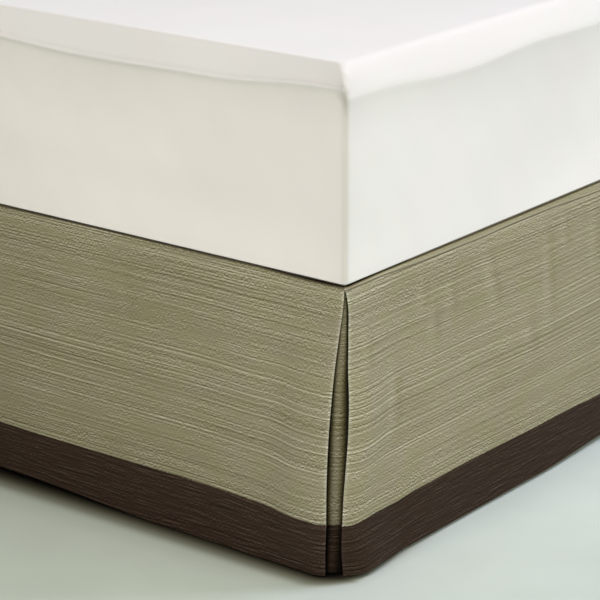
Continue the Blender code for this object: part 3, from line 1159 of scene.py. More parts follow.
@dataclass(frozen=True)
class PercaleSheet:
    """The smooth white cotton of the fitted sheet, warmer on its end walls, with painted shade along
    its seams and below its welt.
    """

    effects: Effects
    warm: tuple = (0.878, 0.862, 0.832)
    cool: tuple = (0.870, 0.872, 0.832)
    warmer: tuple = (0.878, 0.842, 0.786)
    shade_colour: tuple = (0.500, 0.490, 0.390)
    shade_cover: float = 0.35  # how much of the shade colour one step of painted shade brings in
    threads: float = 1900.0
    hue_scale: float = 8.0
    tone_scale: float = 4.5
    tone: tuple = (0.975, 1.0)
    speckle: float = 0.02

    def build(self) -> Material:
        """Makes the material.

        Returns:
            The material.
        """
        material, graph, shader = new_material(
            "percale_sheet_finish", Roughness=0.82, Sheen_Weight=0.06, Sheen_Roughness=0.5
        )
        place = graph.add("ShaderNodeTexCoord").outputs["Object"]
        weave = graph.place(self.effects.weave, {"Place": place, "Threads": self.threads})
        hue = graph.span(self.effects.uneven(graph, place, self.hue_scale), 0.35, 0.65)
        colour = graph.mix(hue, rgba(self.warm), rgba(self.cool))
        colour = graph.mix(graph.mark(SHEET_WARMTH), colour, rgba(self.warmer))
        # Painted shade along the seams, at the corners and below the welt.
        shade_share = graph.times(graph.mark(PAINTED_SHADE), self.shade_cover, clamp=True)
        colour = graph.mix(shade_share, colour, rgba(self.shade_colour))
        tone = self.effects.uneven(graph, place, self.tone_scale)
        # Painted light and shade, with the random mottle, from the sheet's points.
        level = graph.times(graph.span(tone, *MOST_NOISE, *self.tone), graph.mark(SHEET_SHADE_AND_MOTTLE))
        level = graph.blend_in(graph.less(weave["Speckle"], MIDDLE), self.speckle, level)
        colour = graph.dimmed(colour, level, level, level)
        graph.finish(shader, colour, weave["Height"], 0.12, FINE_WEAVE_DEPTH)
        return material


@dataclass(frozen=True)
class StainedWood:
    """Dark stained wood with its grain upright."""

    effects: Effects
    light: tuple = (0.085, 0.045, 0.024)
    dark: tuple = (0.030, 0.016, 0.009)
    grain_rates: tuple = (160.0, 160.0, 9.0)
    ring_rates: tuple = (45.0, 45.0, 4.0)
    rings: tuple = (0.35, 0.65, 0.5, 1.2)
    tone_scale: float = 20.0
    roughness: tuple = (0.36, 0.55)

    def build(self) -> Material:
        """Makes the material.

        Returns:
            The material.
        """
        material, graph, shader = new_material("dark_wood_finish", Roughness=0.42, Coat_Weight=0.2)
        place = graph.add("ShaderNodeTexCoord").outputs["Object"]
        grain = graph.noise(graph.scale(place, self.grain_rates), detail=4.0, roughness=0.65)
        rings = graph.span(graph.noise(graph.scale(place, self.ring_rates)), *self.rings)
        factor = graph.times(grain, rings, clamp=True)
        colour = graph.mix(factor, rgba(self.dark), rgba(self.light))
        tone = self.effects.uneven(graph, place, self.tone_scale)
        graph.feed(shader, {"Roughness": graph.span(tone, 0.2, 0.8, *self.roughness)})
        graph.finish(shader, colour, grain, 0.15, WEAVE_DEPTH)
        return material


@dataclass(frozen=True)
class PaleFloor:
    """The plain pale floor, a little uneven in tone, with a painted shadow next to the foot end and
    painted light beside the bed.
    """

    effects: Effects
    outline: BedOutline
    # The floor's light and shade are painted into its colour: a painted shadow in front of the foot
    # end and round the corner, and painted light beside the bed.
    light: tuple = (0.640, 0.731, 0.660)
    dark: tuple = (0.582, 0.665, 0.598)
    tone_scale: float = 3.0
    stand_off: float = 0.0108  # how far the hem stands out from the mattress's side
    widening: tuple = (0.6, 1.2)  # how far from the corner the shade is widest, and by how much
    corner: float = 0.054  # how far from the corner the shade starts to shrink
    corner_rate: float = 14.4  # how fast it does: an added distance by the square of that one
    under: tuple = (-0.24, -0.04)  # where the shade ends again, under the bed
    painted_glow: tuple = (-0.60, -0.05)  # where the floor beside the bed is lighter
    painted_glow_level: float = 0.12
    painted_glow_reach: float = 0.5
    channels: tuple = (0.94, 1.17)  # how fast red and blue darken, beside green
    # The painted light of the floor in front of the foot end, where a painted shadow falls.
    SHADE = (
        # distance from the hem, light
        (-0.018, 0.01), (-0.007, 0.014), (0.0, 0.05), (0.0075, 0.15),
        (0.014, 0.3), (0.02, 0.43), (0.0255, 0.65), (0.031, 0.83),
        (0.036, 0.92), (0.049, 0.96), (0.066, 1.0),
    )

    def distance(self, graph: Graph, across: Socket, before: Socket) -> Socket:
        """How far a point of the floor is from the hem, as the painted shadow has it.

        Args:
            graph: the material's graph.
            across: how far the point is from the bed's middle line.
            before: how far it is in front of the hem's line.

        Returns:
            The distance, which grows faster round the corner.
        """
        half = self.outline.width / 2 + self.stand_off
        away, wider = self.widening
        reach = graph.ratio(before, graph.span(across, half, half - away, 1.0, wider))
        beside = graph.math("MAXIMUM", graph.less(across, half - self.corner), 0.0)
        outside = graph.times(graph.times(beside, beside), self.corner_rate)
        return graph.plus(graph.math("MAXIMUM", reach, self.SHADE[0][0]), outside)

    def painted_light(self, graph: Graph, place: Socket) -> Socket:
        """The painted light of the floor.

        Args:
            graph: the material's graph.
            place: the point of the floor.

        Returns:
            The painted light: 1 in the open.
        """
        x, y, _ = graph.split(place)
        half = self.outline.width / 2 + self.stand_off
        across = graph.math("ABSOLUTE", graph.less(x, (self.outline.left + self.outline.right) / 2))
        before = graph.less(self.outline.foot - self.stand_off, y)
        low, high = self.SHADE[0][0], self.SHADE[-1][0]
        stops = [((spot - low) / (high - low), light) for spot, light in self.SHADE]
        spot = graph.less(self.distance(graph, across, before), low)
        light = graph.ramp(graph.ratio(spot, high - low, clamp=True), stops)[0]
        shade = graph.times(graph.less(1.0, light), graph.span(before, *self.under, 0.0, 1.0))
        painted_glow = graph.span(before, *self.painted_glow, self.painted_glow_level, 0.0)
        painted_glow = graph.times(painted_glow, graph.span(across, half, half + self.painted_glow_reach, 1.0, 0.0))
        return graph.less(graph.plus(painted_glow, 1.0), shade)

    def build(self) -> Material:
        """Makes the material.

        Returns:
            The material.
        """
        material, graph, shader = new_material("pale_floor_finish", Roughness=0.6)
        place = graph.add("ShaderNodeTexCoord").outputs["Object"]
        tone = graph.span(self.effects.uneven(graph, place, self.tone_scale), *MOST_NOISE)
        colour = graph.mix(tone, rgba(self.dark), rgba(self.light))
        level = self.painted_light(graph, place)
        red, blue = (graph.math("POWER", level, depth) for depth in self.channels)
        graph.feed(shader, {"Base Color": graph.dimmed(colour, red, level, blue)})
        return material


PLAIN_CLOTHS = {
    # finish: name, light, shade, threads, bump
    # The deck is coloured dark as painted shade, to keep the gap under the mattress dark.
    "deck": ("deck_painted_shade_finish", (0.060, 0.050, 0.032), (0.045, 0.037, 0.023)),
    "cover": ("foundation_cover_finish", (0.700, 0.680, 0.620), (0.640, 0.615, 0.550), 900.0, 0.3),
    "welt": ("welt_finish", (0.560, 0.530, 0.460), (0.500, 0.470, 0.400), 900.0),
    "thread": ("khaki_thread_finish", (0.330, 0.300, 0.190), (0.260, 0.235, 0.145)),
}


@dataclass(frozen=True)
class Finishes:
    """Every material of the scene."""

    striated: Material
    border: Material
    deck: Material
    sheet: Material
    cover: Material
    welt: Material
    thread: Material
    wood: Material
    floor: Material

    @classmethod
    def build(cls, outline: BedOutline) -> Finishes:
        """Builds the shared effects and then each material.

        Args:
            outline: the bed's outline, which the floor's painted shadow follows.

        Returns:
            The finishes.
        """
        effects = Effects.build()
        plain = {key: PlainCloth(effects, *row).build() for key, row in PLAIN_CLOTHS.items()}
        return cls(
            striated=StriatedCloth(effects).build(),
            border=BorderCloth(effects).build(),
            sheet=PercaleSheet(effects).build(),
            wood=StainedWood(effects).build(),
            floor=PaleFloor(effects, outline).build(),
            **plain,
        )


def stitch_tree() -> Tree:
    """A geometry node tree that sews one row of stitches along an edge.

    Returns:
        The tree.
    """
    tree = bpy.data.node_groups.new("stitch_row", "GeometryNodeTree")
    sockets = {
        "Path": "NodeSocketGeometry",
        "Pitch": FLOAT,
        "Stitch Length": FLOAT,
        "Thread Width": FLOAT,
        "Unevenness": FLOAT,
        "Seed": "NodeSocketInt",
        "Thread": "NodeSocketMaterial",
    }
    for name, kind in sockets.items():
        tree.interface.new_socket(name, in_out="INPUT", socket_type=kind)
    tree.interface.new_socket("Stitches", in_out="OUTPUT", socket_type="NodeSocketGeometry")
    graph = Graph(tree)
    given = graph.add("NodeGroupInput").outputs
    width = given["Thread Width"]
    curve = graph.add("GeometryNodeMeshToCurve", {0: given["Path"]}).outputs[0]
    points = graph.add("GeometryNodeCurveToPoints", {"Curve": curve}, mode="LENGTH")
    graph.feed(points, {"Length": given["Pitch"]})
    stitch = graph.add("GeometryNodeMeshIcoSphere", {"Radius": 0.5, "Subdivisions": 1})
    size = graph.add("ShaderNodeCombineXYZ", {0: width, 1: width, 2: given["Stitch Length"]})
    draw = graph.add("FunctionNodeRandomValue", data_type="FLOAT")
    limits = {
        "Min": graph.less(1.0, given["Unevenness"]),
        "Max": graph.plus(1.0, given["Unevenness"]),
        "Seed": given["Seed"],
    }
    for key, value in limits.items():
        socket = [s for s in draw.inputs if s.name == key and s.enabled][0]
        tree.links.new(value, socket)
    drawn = [s for s in draw.outputs if s.enabled][0]
    factors = {0: size.outputs[0], "Scale": drawn}
    uneven = graph.add("ShaderNodeVectorMath", factors, operation="SCALE")
    fed = {key: points.outputs[key] for key in ("Points", "Rotation")}
    fed |= {"Instance": stitch.outputs["Mesh"], "Scale": uneven.outputs[0]}
    placed = graph.add("GeometryNodeInstanceOnPoints", fed)
    real = graph.add("GeometryNodeRealizeInstances", {0: placed.outputs[0]}).outputs[0]
    fed = {"Geometry": real, "Material": given["Thread"]}
    dressed = graph.add("GeometryNodeSetMaterial", fed)
    graph.add("NodeGroupOutput", {0: dressed.outputs[0]})
    return tree


@dataclass(frozen=True)
class StitchRow:
    """Sews a row of stitches along a line of points."""

    tree: Tree
    thread: Material
    pitch: float = 0.0032
    length: float = 0.0025
    width: float = 0.00045
    unevenness: float = 0.12
    seed: int = 5

    def sew(self, name: str, line: Array) -> Object:
        """Sews one row.

        Args:
            name: the piece's name.
            line: the row's route, as points along the cloth's face.

        Returns:
            The stitches as a plain mesh.
        """
        mesh = bpy.data.meshes.new(name + "_path")
        mesh.from_pydata(line.tolist(), [(i, i + 1) for i in range(len(line) - 1)], [])
        path = bpy.data.objects.new(name + "_path", mesh)
        bpy.context.collection.objects.link(path)
        modifier = path.modifiers.new("stitches", "NODES")
        modifier.node_group = self.tree
        values = {
            "Pitch": self.pitch,
            "Stitch Length": self.length,
            "Thread Width": self.width,
            "Unevenness": self.unevenness,
            "Seed": self.seed,
            "Thread": self.thread,
        }
        for item in self.tree.interface.items_tree:
            if item.in_out == "INPUT" and item.name in values:
                modifier[item.identifier] = values[item.name]
        graph = bpy.context.evaluated_depsgraph_get()
        made = bpy.data.meshes.new_from_object(path.evaluated_get(graph))
        made.name = name
        made.shade_smooth()
        bpy.data.objects.remove(path, do_unlink=True)
        stitches = bpy.data.objects.new(name, made)
        bpy.context.collection.objects.link(stitches)
        return stitches


def dress(obj: Object, slot: str, *nodes: str) -> None:
    """Rides a finished piece on the bed.

    Args:
        obj: the piece.
        slot: not used.
        nodes: the nodes that it stands for.
    """
    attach(obj, ROOT)
    if nodes:
        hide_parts(*nodes)
    LOG.info("%s: %d faces", obj.name, len(obj.data.polygons))


def spaced(near: bool, far: bool, length: float) -> Array:
    """Places along a length, closer together at a free end.

    Args:
        near: whether the start is a free end.
        far: whether the far end is one.
        length: the whole length.

    Returns:
        The places, from 0 to the length.
    """
    places = [0.0]
    while places[-1] < length:
        from_near = places[-1] if near else FINE_REACH
        from_far = length - places[-1] if far else FINE_REACH
        share = min(from_near, from_far, FINE_REACH) / FINE_REACH
        places.append(places[-1] + FINE_STEP + (COARSE_STEP - FINE_STEP) * share)
    return np.array(places) * length / places[-1]


@dataclass(frozen=True)
class DropEnd:
    """One end of a drop: its shape, empty where it isn't free, and how much of it that end has."""

    shape: tuple = ()
    share: float = 0.0


@dataclass
class Drop:
    """One straight drop of the skirt: its panel, its border band and its heading stitches."""

    name: str
    start: tuple
    along: tuple
    outward: tuple
    length: float
    near: DropEnd
    far: DropEnd
    seed: int
    turned: bool = False

    def free_ends(self, place: Array) -> list:
        """How far the places are from each end that is free."""
        ends = ((self.near, place), (self.far, self.length - place))
        return [distance for end, distance in ends if end.shape]

    def end_shape(self, end: DropEnd, distance: Array, height: Array) -> tuple:
        """What an end adds to the drop.

        Args:
            end: the end.
            distance: how far each point is from it.
            height: each point's height.

        Returns:
            How far out, and how far along the drop.
        """
        if not end.shape:
            return 0.0, 0.0
        swing, width, set_back, curl = (read(end.shape, i, height) for i in (1, 2, 3, 4))
        flat_part = FLAT_SHARE * width
        out = end.share * swing * (1 - ease((distance - flat_part) / (width - flat_part)))
        turn = np.minimum(distance / CURL_WIDTH[self.name], 1.0)
        out = out - end.share * curl * (1 - turn) ** 2
        return out, set_back * (1 - ease(distance / SHIFT_WIDTH))

    def heading(self, place: Array) -> Array:
        """The slightly uneven line of the heading seam.

        Args:
            place: places along the drop.

        Returns:
            The seam's height at each one.
        """
        places, heights = np.array(HEADING[self.name]).T
        around = (-HEADING_BLUR, 0.0, HEADING_BLUR)
        line = sum(np.interp(place + step, places, heights) for step in around) / len(around)
        return line + HEADING_WOBBLE * Ripple(self.seed, 0.30, 0.03).along(place)

    def relief(self, place: Array, height: Array) -> Array:
        """The small forms of the cloth: sewn ditches, puckers beside them and soft folds.

        Args:
            place: how far along the drop each point is.
            height: how high each point is.

        Returns:
            How far out they stand.
        """
        pucker = Ripple(self.seed + 1, 0.034, 0.010).along(place)
        creases = Ripple(self.seed + 2, 0.30, 0.07, 9).over(place, height * CREASE_LEAN)
        out = CREASE * creases + self.folds(place, height)[0]
        for seam, (depth, width, size, reach) in zip((self.heading(place), BORDER_TOP), DITCHES):
            out = out - depth * bell(height, seam, width)
            out = out + size * pucker * np.exp(-np.abs(height - seam) / reach)
        return out

    def folds(self, place: Array, height: Array) -> tuple:
        """The soft folds of the cloth.

        Args:
            place: how far along the drop each point is.
            height: how high each point is.

        Returns:
            How far out they stand, and the painted shade on their flanks and top edge, painted
            highlight on free edges.
        """
        out, shade = 0.0, 0.0
        for middle, half, top, bottom, lean, size in SOFT_FOLDS[self.name]:
            across = (place - middle - lean * (top - height)) / half
            fall = bump_shape((height - (top + bottom) / 2) / (FOLD_REACH * (top - bottom)))
            out = out + size * bump_shape(across) * fall
            shade = shade + size / FULL_FOLD * np.sin(np.pi * np.clip(across, -1, 1)) * fall
        for distance in self.free_ends(place):
            shade = shade + EDGE_LIGHT * np.exp(-distance / EDGE_WIDTH)
        return out, shade + TOP_SHADE * ease((height - TOP_SHADE_FROM) / TOP_SHADE_RISE)

    def shade_along(self, place: Array, height: Array) -> Array:
        """Painted light and shade that change slowly along the cloth, from its free ends to its
        middle.

        Args:
            place: how far along the drop each point is.
            height: how high each point is.

        Returns:
            The painted shade, below 0 where the cloth is painted lighter.
        """
        cloth = "band" if height[0, 0] <= BORDER_TOP else "panel"
        middle, end, reach = SHADE_ALONG[self.name, cloth]
        distance = np.full(place.shape, self.length)
        for from_end in self.free_ends(place):
            distance = np.minimum(distance, from_end)
        return middle + end * np.exp(-distance / reach)

    def settled(self, place: Array, height: Array) -> Array:
        """The heights at which the cloth's rows really hang.

        Args:
            place: how far along the drop each point is.
            height: how high its row is on a drop that hangs quite true.

        Returns:
            The heights.
        """
        seam = bumps(SEAM_SAG[self.name], place) - SEAM_LOWER
        hem = bumps(HEM_SAG[self.name], place)
        above = ease((SAG_REACH - height) / (SAG_REACH - BORDER_TOP))
        below = (BORDER_TOP - height) / (BORDER_TOP - HEM)
        top = ease((height - TOP_REACH) / (SKIRT_TOP - TOP_REACH))
        lower = np.where(height > BORDER_TOP, seam * above, seam + (hem - seam) * below)
        return height + lower + bumps(TOP_SAG[self.name], place) * top

    def face(self, place: Array, height: Array, lift: float = 0.0) -> Array:
        """Points of the drop's outer face.

        Args:
            place: how far along the drop each point is.
            height: how high each point is.
            lift: how far outside the face the points lie.

        Returns:
            The points.
        """
        near, near_shift = self.end_shape(self.near, place, height)
        far, far_shift = self.end_shape(self.far, self.length - place, height)
        wave = bumps(WAVES[self.name], place) * read(DROP_FACE, 2, height)
        out = read(DROP_FACE, 1, height) + near + far + wave + lift + self.relief(place, height)
        run = place + near_shift - far_shift
        x, y = (self.start[i] + run * self.along[i] + out * self.outward[i] for i in (0, 1))
        return np.stack([x, y, self.settled(place, height)], axis=-1)

    def cloth(
        self, name: str, rows: tuple, thickness: float, material: Material
    ) -> Object:
        """A closed sheet of the drop.

        Args:
            name: what is added to the drop's name.
            rows: the heights of its rows of points, from the top down, in parts.
            thickness: how thick it is.
            material: its finish.

        Returns:
            The sheet.
        """
        places = spaced(bool(self.near.shape), bool(self.far.shape), self.length)
        place, height = np.meshgrid(places, np.concatenate(rows))
        cut = np.stack([place + CUT_APART * self.seed, height], axis=-1)
        marks = {
            # Painted shade of folds, top edge and free edges, and painted light and shade along the
            # cloth.
            PAINTED_SHADE: self.folds(place, height)[1] + self.shade_along(place, height),
            HEADING_PLACE: 1 + height - self.heading(place),
        }
        face = self.face(place, height)
        return sheet_object(self.name + name, face, cut, thickness, material, marks, self.turned)

    def heading_line(self) -> Array:
        """The route of the heading stitches, just proud of the ditch that they lie in."""
        place = np.linspace(STITCH_INSET, self.length - STITCH_INSET, int(self.length / STITCH_SAMPLE))
        return self.face(place, self.heading(place), lift=STITCH_LIFT)

    def build(self, finishes: Finishes, stitches: StitchRow) -> None:
        """Args:
            finishes: the scene's materials.
            stitches: what sews the heading.
        """
        sewing = stitches.sew(self.name + "_heading_stitches", self.heading_line())
        panel = self.cloth("_cloth", PANEL_ROWS, DROP_CLOTH, finishes.striated)
        band = self.cloth("_band", BAND_ROWS, BORDER_CLOTH, finishes.border)
        dress(sewing, "striated_cloth")
        dress(panel, "striated_cloth", self.name + "_panel")
        dress(band, "border_cloth", self.name + "_border")


@dataclass
class CornerInsert:
    """The insert behind a split corner, with its own border band."""

    name: str
    outline: BedOutline
    side: int
    seed: int
    softness: float = 0.0005

    def face(self, run: Array, height: Array) -> Array:
        """Points of the insert's outer face.

        Args:
            run: how far along the cloth each point is from the corner, below 0 at the foot end.
            height: how high each point is.

        Returns:
            The points.
        """
        foot_out, side_out, radius = (read(INSERT_FACE, i, height) for i in (1, 2, 3))
        soft = self.softness * Ripple(self.seed, 0.16, 0.03).over(run, height / 2)
        foot_out = foot_out + soft
        side_out = side_out + soft
        turn = radius * math.pi / 4
        angle = (np.clip(run / turn, -1, 1) - 1) * math.pi / 4
        past = np.maximum(np.abs(run) - turn, 0) / (INSERT_REACH - turn)
        behind_foot = past * (run < 0) * (INSERT_REACH + side_out - radius)
        behind_side = past * (run > 0) * (INSERT_REACH + foot_out - radius)
        x = side_out - radius + radius * np.cos(angle) - behind_foot
        y = radius - foot_out + radius * np.sin(angle) + behind_side
        corner = self.outline.right if self.side > 0 else self.outline.left
        return np.stack([corner + self.side * x, self.outline.foot + y, height], axis=-1)

    def shade(self, run: Array, height: Array) -> Array:
        """The painted shade: deep past the part that shows in the split, and a little in its upper
        part.

        Args:
            run: how far along the cloth each point is from the corner.
            height: how high each point is.

        Returns:
            The painted shade.
        """
        left, right, left_blur, right_blur = (read(SPLIT, i, height) for i in (1, 2, 3, 4))
        into = np.maximum(ease((left - run) / left_blur + 1), ease((run - right) / right_blur + 1))
        return SPLIT_SHADE * into + ease((height - DIM_FROM) / DIM_RISE) * (1 - into)

    def cloth(
        self, name: str, heights: Array, thickness: float, material: Material
    ) -> Object:
        """A closed sheet of the insert.

        Args:
            name: what is added to the insert's name.
            heights: the heights of its rows of points, from the top down.
            thickness: how thick it is.
            material: its finish.

        Returns:
            The sheet.
        """
        run, height = np.meshgrid(INSERT_RUNS, heights)
        cut = np.stack([run + CUT_APART * self.seed, height], axis=-1)
        marks = {PAINTED_SHADE: self.shade(run, height)}
        face = self.face(run, height)
        return sheet_object(self.name + name, face, cut, thickness, material, marks, self.side < 0)

    def build(self, finishes: Finishes) -> None:
        """Args:
            finishes: the scene's materials.
        """
        top, seam = INSERT_FACE[0][0], INSERT_BORDER_TOP
        panel_heights, band_heights = np.linspace(top, seam + GAP, 40), np.linspace(seam, HEM, 14)
        cloth = self.cloth("_cloth", panel_heights, INSERT_CLOTH, finishes.striated)
        band = self.cloth("_band", band_heights, INSERT_BORDER_CLOTH, finishes.border)
        dress(cloth, "striated_cloth", self.name)
        dress(band, "border_cloth", self.name + "_border")


@dataclass
class Deck:
    """The cloth between mattress and foundation that carries the drops, coloured dark as painted shade
    for the gap under the mattress.
    """

    outline: BedOutline
    inset: float = 0.0030
    wobble: float = 0.00012
    columns: int = 60
    rows: int = 80

    def build(self, finishes: Finishes) -> None:
        """Args:
            finishes: the scene's materials.
        """
        bed, inset = self.outline, self.inset
        x, y = np.meshgrid(
            np.linspace(bed.left + inset, bed.right - inset, self.columns),
            np.linspace(bed.head - inset, bed.foot + inset, self.rows),
        )
        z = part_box("skirt_deck")[1][2] + self.wobble * (Ripple(31, 0.3, 0.05).over(x, y) - 1)
        face, cut = np.stack([x, y, z], axis=-1), np.stack([x, y], axis=-1)
        thickness = DECK_CLOTH - 2 * self.wobble
        deck = sheet_object("deck_sheet", face, cut, thickness, finishes.deck, {})
        dress(deck, "deck_cloth", "skirt_deck")


@dataclass
class RoundedRing:
    """A rounded rectangle of points that keep their order as it shrinks."""

    outline: BedOutline
    spacing: float = 0.014
    corner_steps: int = 10
    near_corner: tuple = ()

    def points(self, drawn_in: float, radius: float) -> tuple:
        """The ring's points, counter-clockwise from above.

        Args:
            drawn_in: how far the ring lies inside the outline.
            radius: the radius of its corners.

        Returns:
            The points, and the way outwards at each one.
        """
        bed = self.outline
        middle = np.array([(bed.left + bed.right) / 2, (bed.foot + bed.head) / 2])
        half = np.array([bed.width, bed.length]) / 2 - drawn_in
        radius = min(radius, *half)
        across, along = (max(2, round(side / self.spacing)) for side in (bed.width, bed.length))
        corners = ((1, -1), (1, 1), (-1, 1), (-1, -1))
        centres = np.array(corners) * (half - radius)
        places, ways = [], []
        for index, steps in enumerate((along, across, along, across)):
            turns = np.arange(self.corner_steps + 1) / self.corner_steps
            angles = (index - 1 + turns) * math.pi / 2
            way = np.stack([np.cos(angles), np.sin(angles)], axis=1)
            arc = centres[index] + radius * way
            end = centres[(index + 1) % 4] + radius * way[-1]
            near = np.array(self.near_corner) / np.linalg.norm(end - arc[-1])
            share = np.concatenate([near, np.arange(1, steps) / steps, 1 - near[::-1]])[:, None]
            places += [arc, arc[-1] + (end - arc[-1]) * share]
            ways += [way, np.repeat(way[-1:], len(share), axis=0)]
        return np.concatenate(places) + middle, np.concatenate(ways)


@dataclass(frozen=True)
class ShadeMark:
    """One soft band of painted shade on the sheet: its strength, its width and where its middle lies.
    """

    strength: float
    width: float
    middle: float

    def at(self, place: Numbers) -> Numbers:
        """How strongly the mark shows at each place."""
        return self.strength * bell(place, self.middle, self.width)


WELT_SIDE = millimetres(
    # height above the bottom, drawn_in
    (0, 30), (0, 8), (0, 3.6), (-0.1, 2), (-0.4, 1.5),
    (-0.5, 0.9), (-0.4, 0.4), (0.1, 0), (1.8, 0), (4.5, 0),
)
# The upper part on the ends, where the sheet is drawn crisply over the welt, and on the long
# sides, where it rolls over it softly.
WELT_TOP = millimetres(
    # depth below the top, drawn_in_at_ends, drawn_in_at_sides
    (150, 0.6, 0.4), (125, 1.4, 1), (100, 2.4, 1.9), (80, 3.1, 2.6),
    (65, 3.3, 2.8), (54, 2.9, 2.4), (48, 2.2, 1.8), (45, 1.4, 1.4),
    (42.5, 0.3, 1.1), (40.5, -0.8, 1), (38.8, -1.1, 0.9), (37.4, -0.6, 1),
    (36, 1, 1.1), (34.5, 1.7, 1.3), (32, 2.1, 1.8), (27, 3.4, 3.1),
    (21.5, 5.1, 4.9), (16, 6.9, 6.7), (11, 8.6, 8.5), (7.5, 9.9, 9.9),
    (5, 10.9, 11.1), (3.4, 11.7, 12.2), (2, 12.6, 13.7), (1, 13.8, 15.6),
    (0.4, 15.2, 18), (0.1, 17.2, 20.5), (0, 21, 24),
)
# The rings of the flat top, as shares of the way from its edge to its middle line.
TOP_RINGS = (
    *(0.012, 0.03, 0.055, 0.09, 0.13, 0.18, 0.24, 0.31),
    *(0.39, 0.48, 0.58, 0.69, 0.8, 0.9, 0.97),
)
# How the welt's line rises and dips along the foot end and the right side, from their corner.
WELT_RISE = {
    # middle, half_length, rise
    "foot": millimetres((30, 170, 11.5), (390, 200, -3), (620, 200, 4), (1150, 300, -4)),
    "side": millimetres((250, 190, -9.5), (560, 260, -4.5), (1100, 300, 3), (1700, 300, -5)),
}

# How much lighter the sheet's walls are painted than its broad tone, by depth below the top: painted
# shade under the welt, painted light lower down.
WALL_LIGHT = (
    # depth, lighter
    (0.045, -0.065), (0.1, -0.035), (0.16, 0.0), (0.24, 0.04),
)
MOTTLE = 0.045  # how uneven the walls' tone is
MOTTLE_FLATNESS = 1.3
# How much painted shade darkens each part more, all along it and near a corner of the bed.
PAINTED_SHADE_BY_PART = {
    # part: rows of amount and how far it runs
    "end_wall": ((0.09, 0.15),),
    "side_wall": ((0.05, math.inf), (0.05, 0.2)),
    "end_band": ((0.05, math.inf), (0.14, 0.25), (0.12, 0.020)),
    "side_band": ((0.06, math.inf), (0.05, 0.2)),
}
# The painted shade on the sheet's top.
SHEET_TOP_SHADE = 0.05
# How deep below the top the band above the welt and the top's edge end, and how softly.
BAND_BOTTOM, BAND_BLUR = 0.042, 0.004
TOP_BOTTOM, TOP_BLUR = 0.0012, 0.001

# The painted shade: across each corner's seam, and by depth where it pinches and at the ditch.
SEAM_MARK = ShadeMark(1.35, 0.0056, -0.0010)
PINCH_MARK = ShadeMark(1.2, 0.009, 0.049)
DITCH_MARK = ShadeMark(0.35, 0.0014, 0.0350)
SEAM_CORNER_SHADE = (0.1575, 0.006)  # strength, reach
CORNER_REACH = 0.02
WALL_FROM = 0.030
SEAM_ABOVE = 0.35  # the seams' share above that depth
PINCH_FROM, PINCH_RISE = 0.058, 0.016
PINCH_SHAPE = ((0.0010, 0.0050), (0.0040, 0.0035))  # middle and width, and more above
UNDER_WELT_SHADE = (0.20, 0.14)  # just below the welt, at the sides and at the ends
UNDER_FROM, UNDER_REACH = 0.0400, 0.045

# The sheet's own unevenness: tugs on its walls, fullness at its corners, a loose top.
NEAR_CORNER = (0.0012, 0.0026, 0.0042, 0.0062, 0.009)
CORNER_OPENS = 0.45
TUG, TUG_TOP, TUG_FREE, TUG_FLATNESS = 0.0012, 0.84, 0.10, 1.4
FULLNESS, FULL_DEPTH, FULL_HALF, FULL_REACH = 0.0036, 0.017, 0.018, 0.030
FULL_WAY = (1.0, 0.2)
RISE_FROM = 0.2  # the share of the height below which the walls don't follow the welt
LOOSE, LOOSE_LOWER, LOOSE_BLUR = 0.0010, 0.6, (0.25, 0.6)


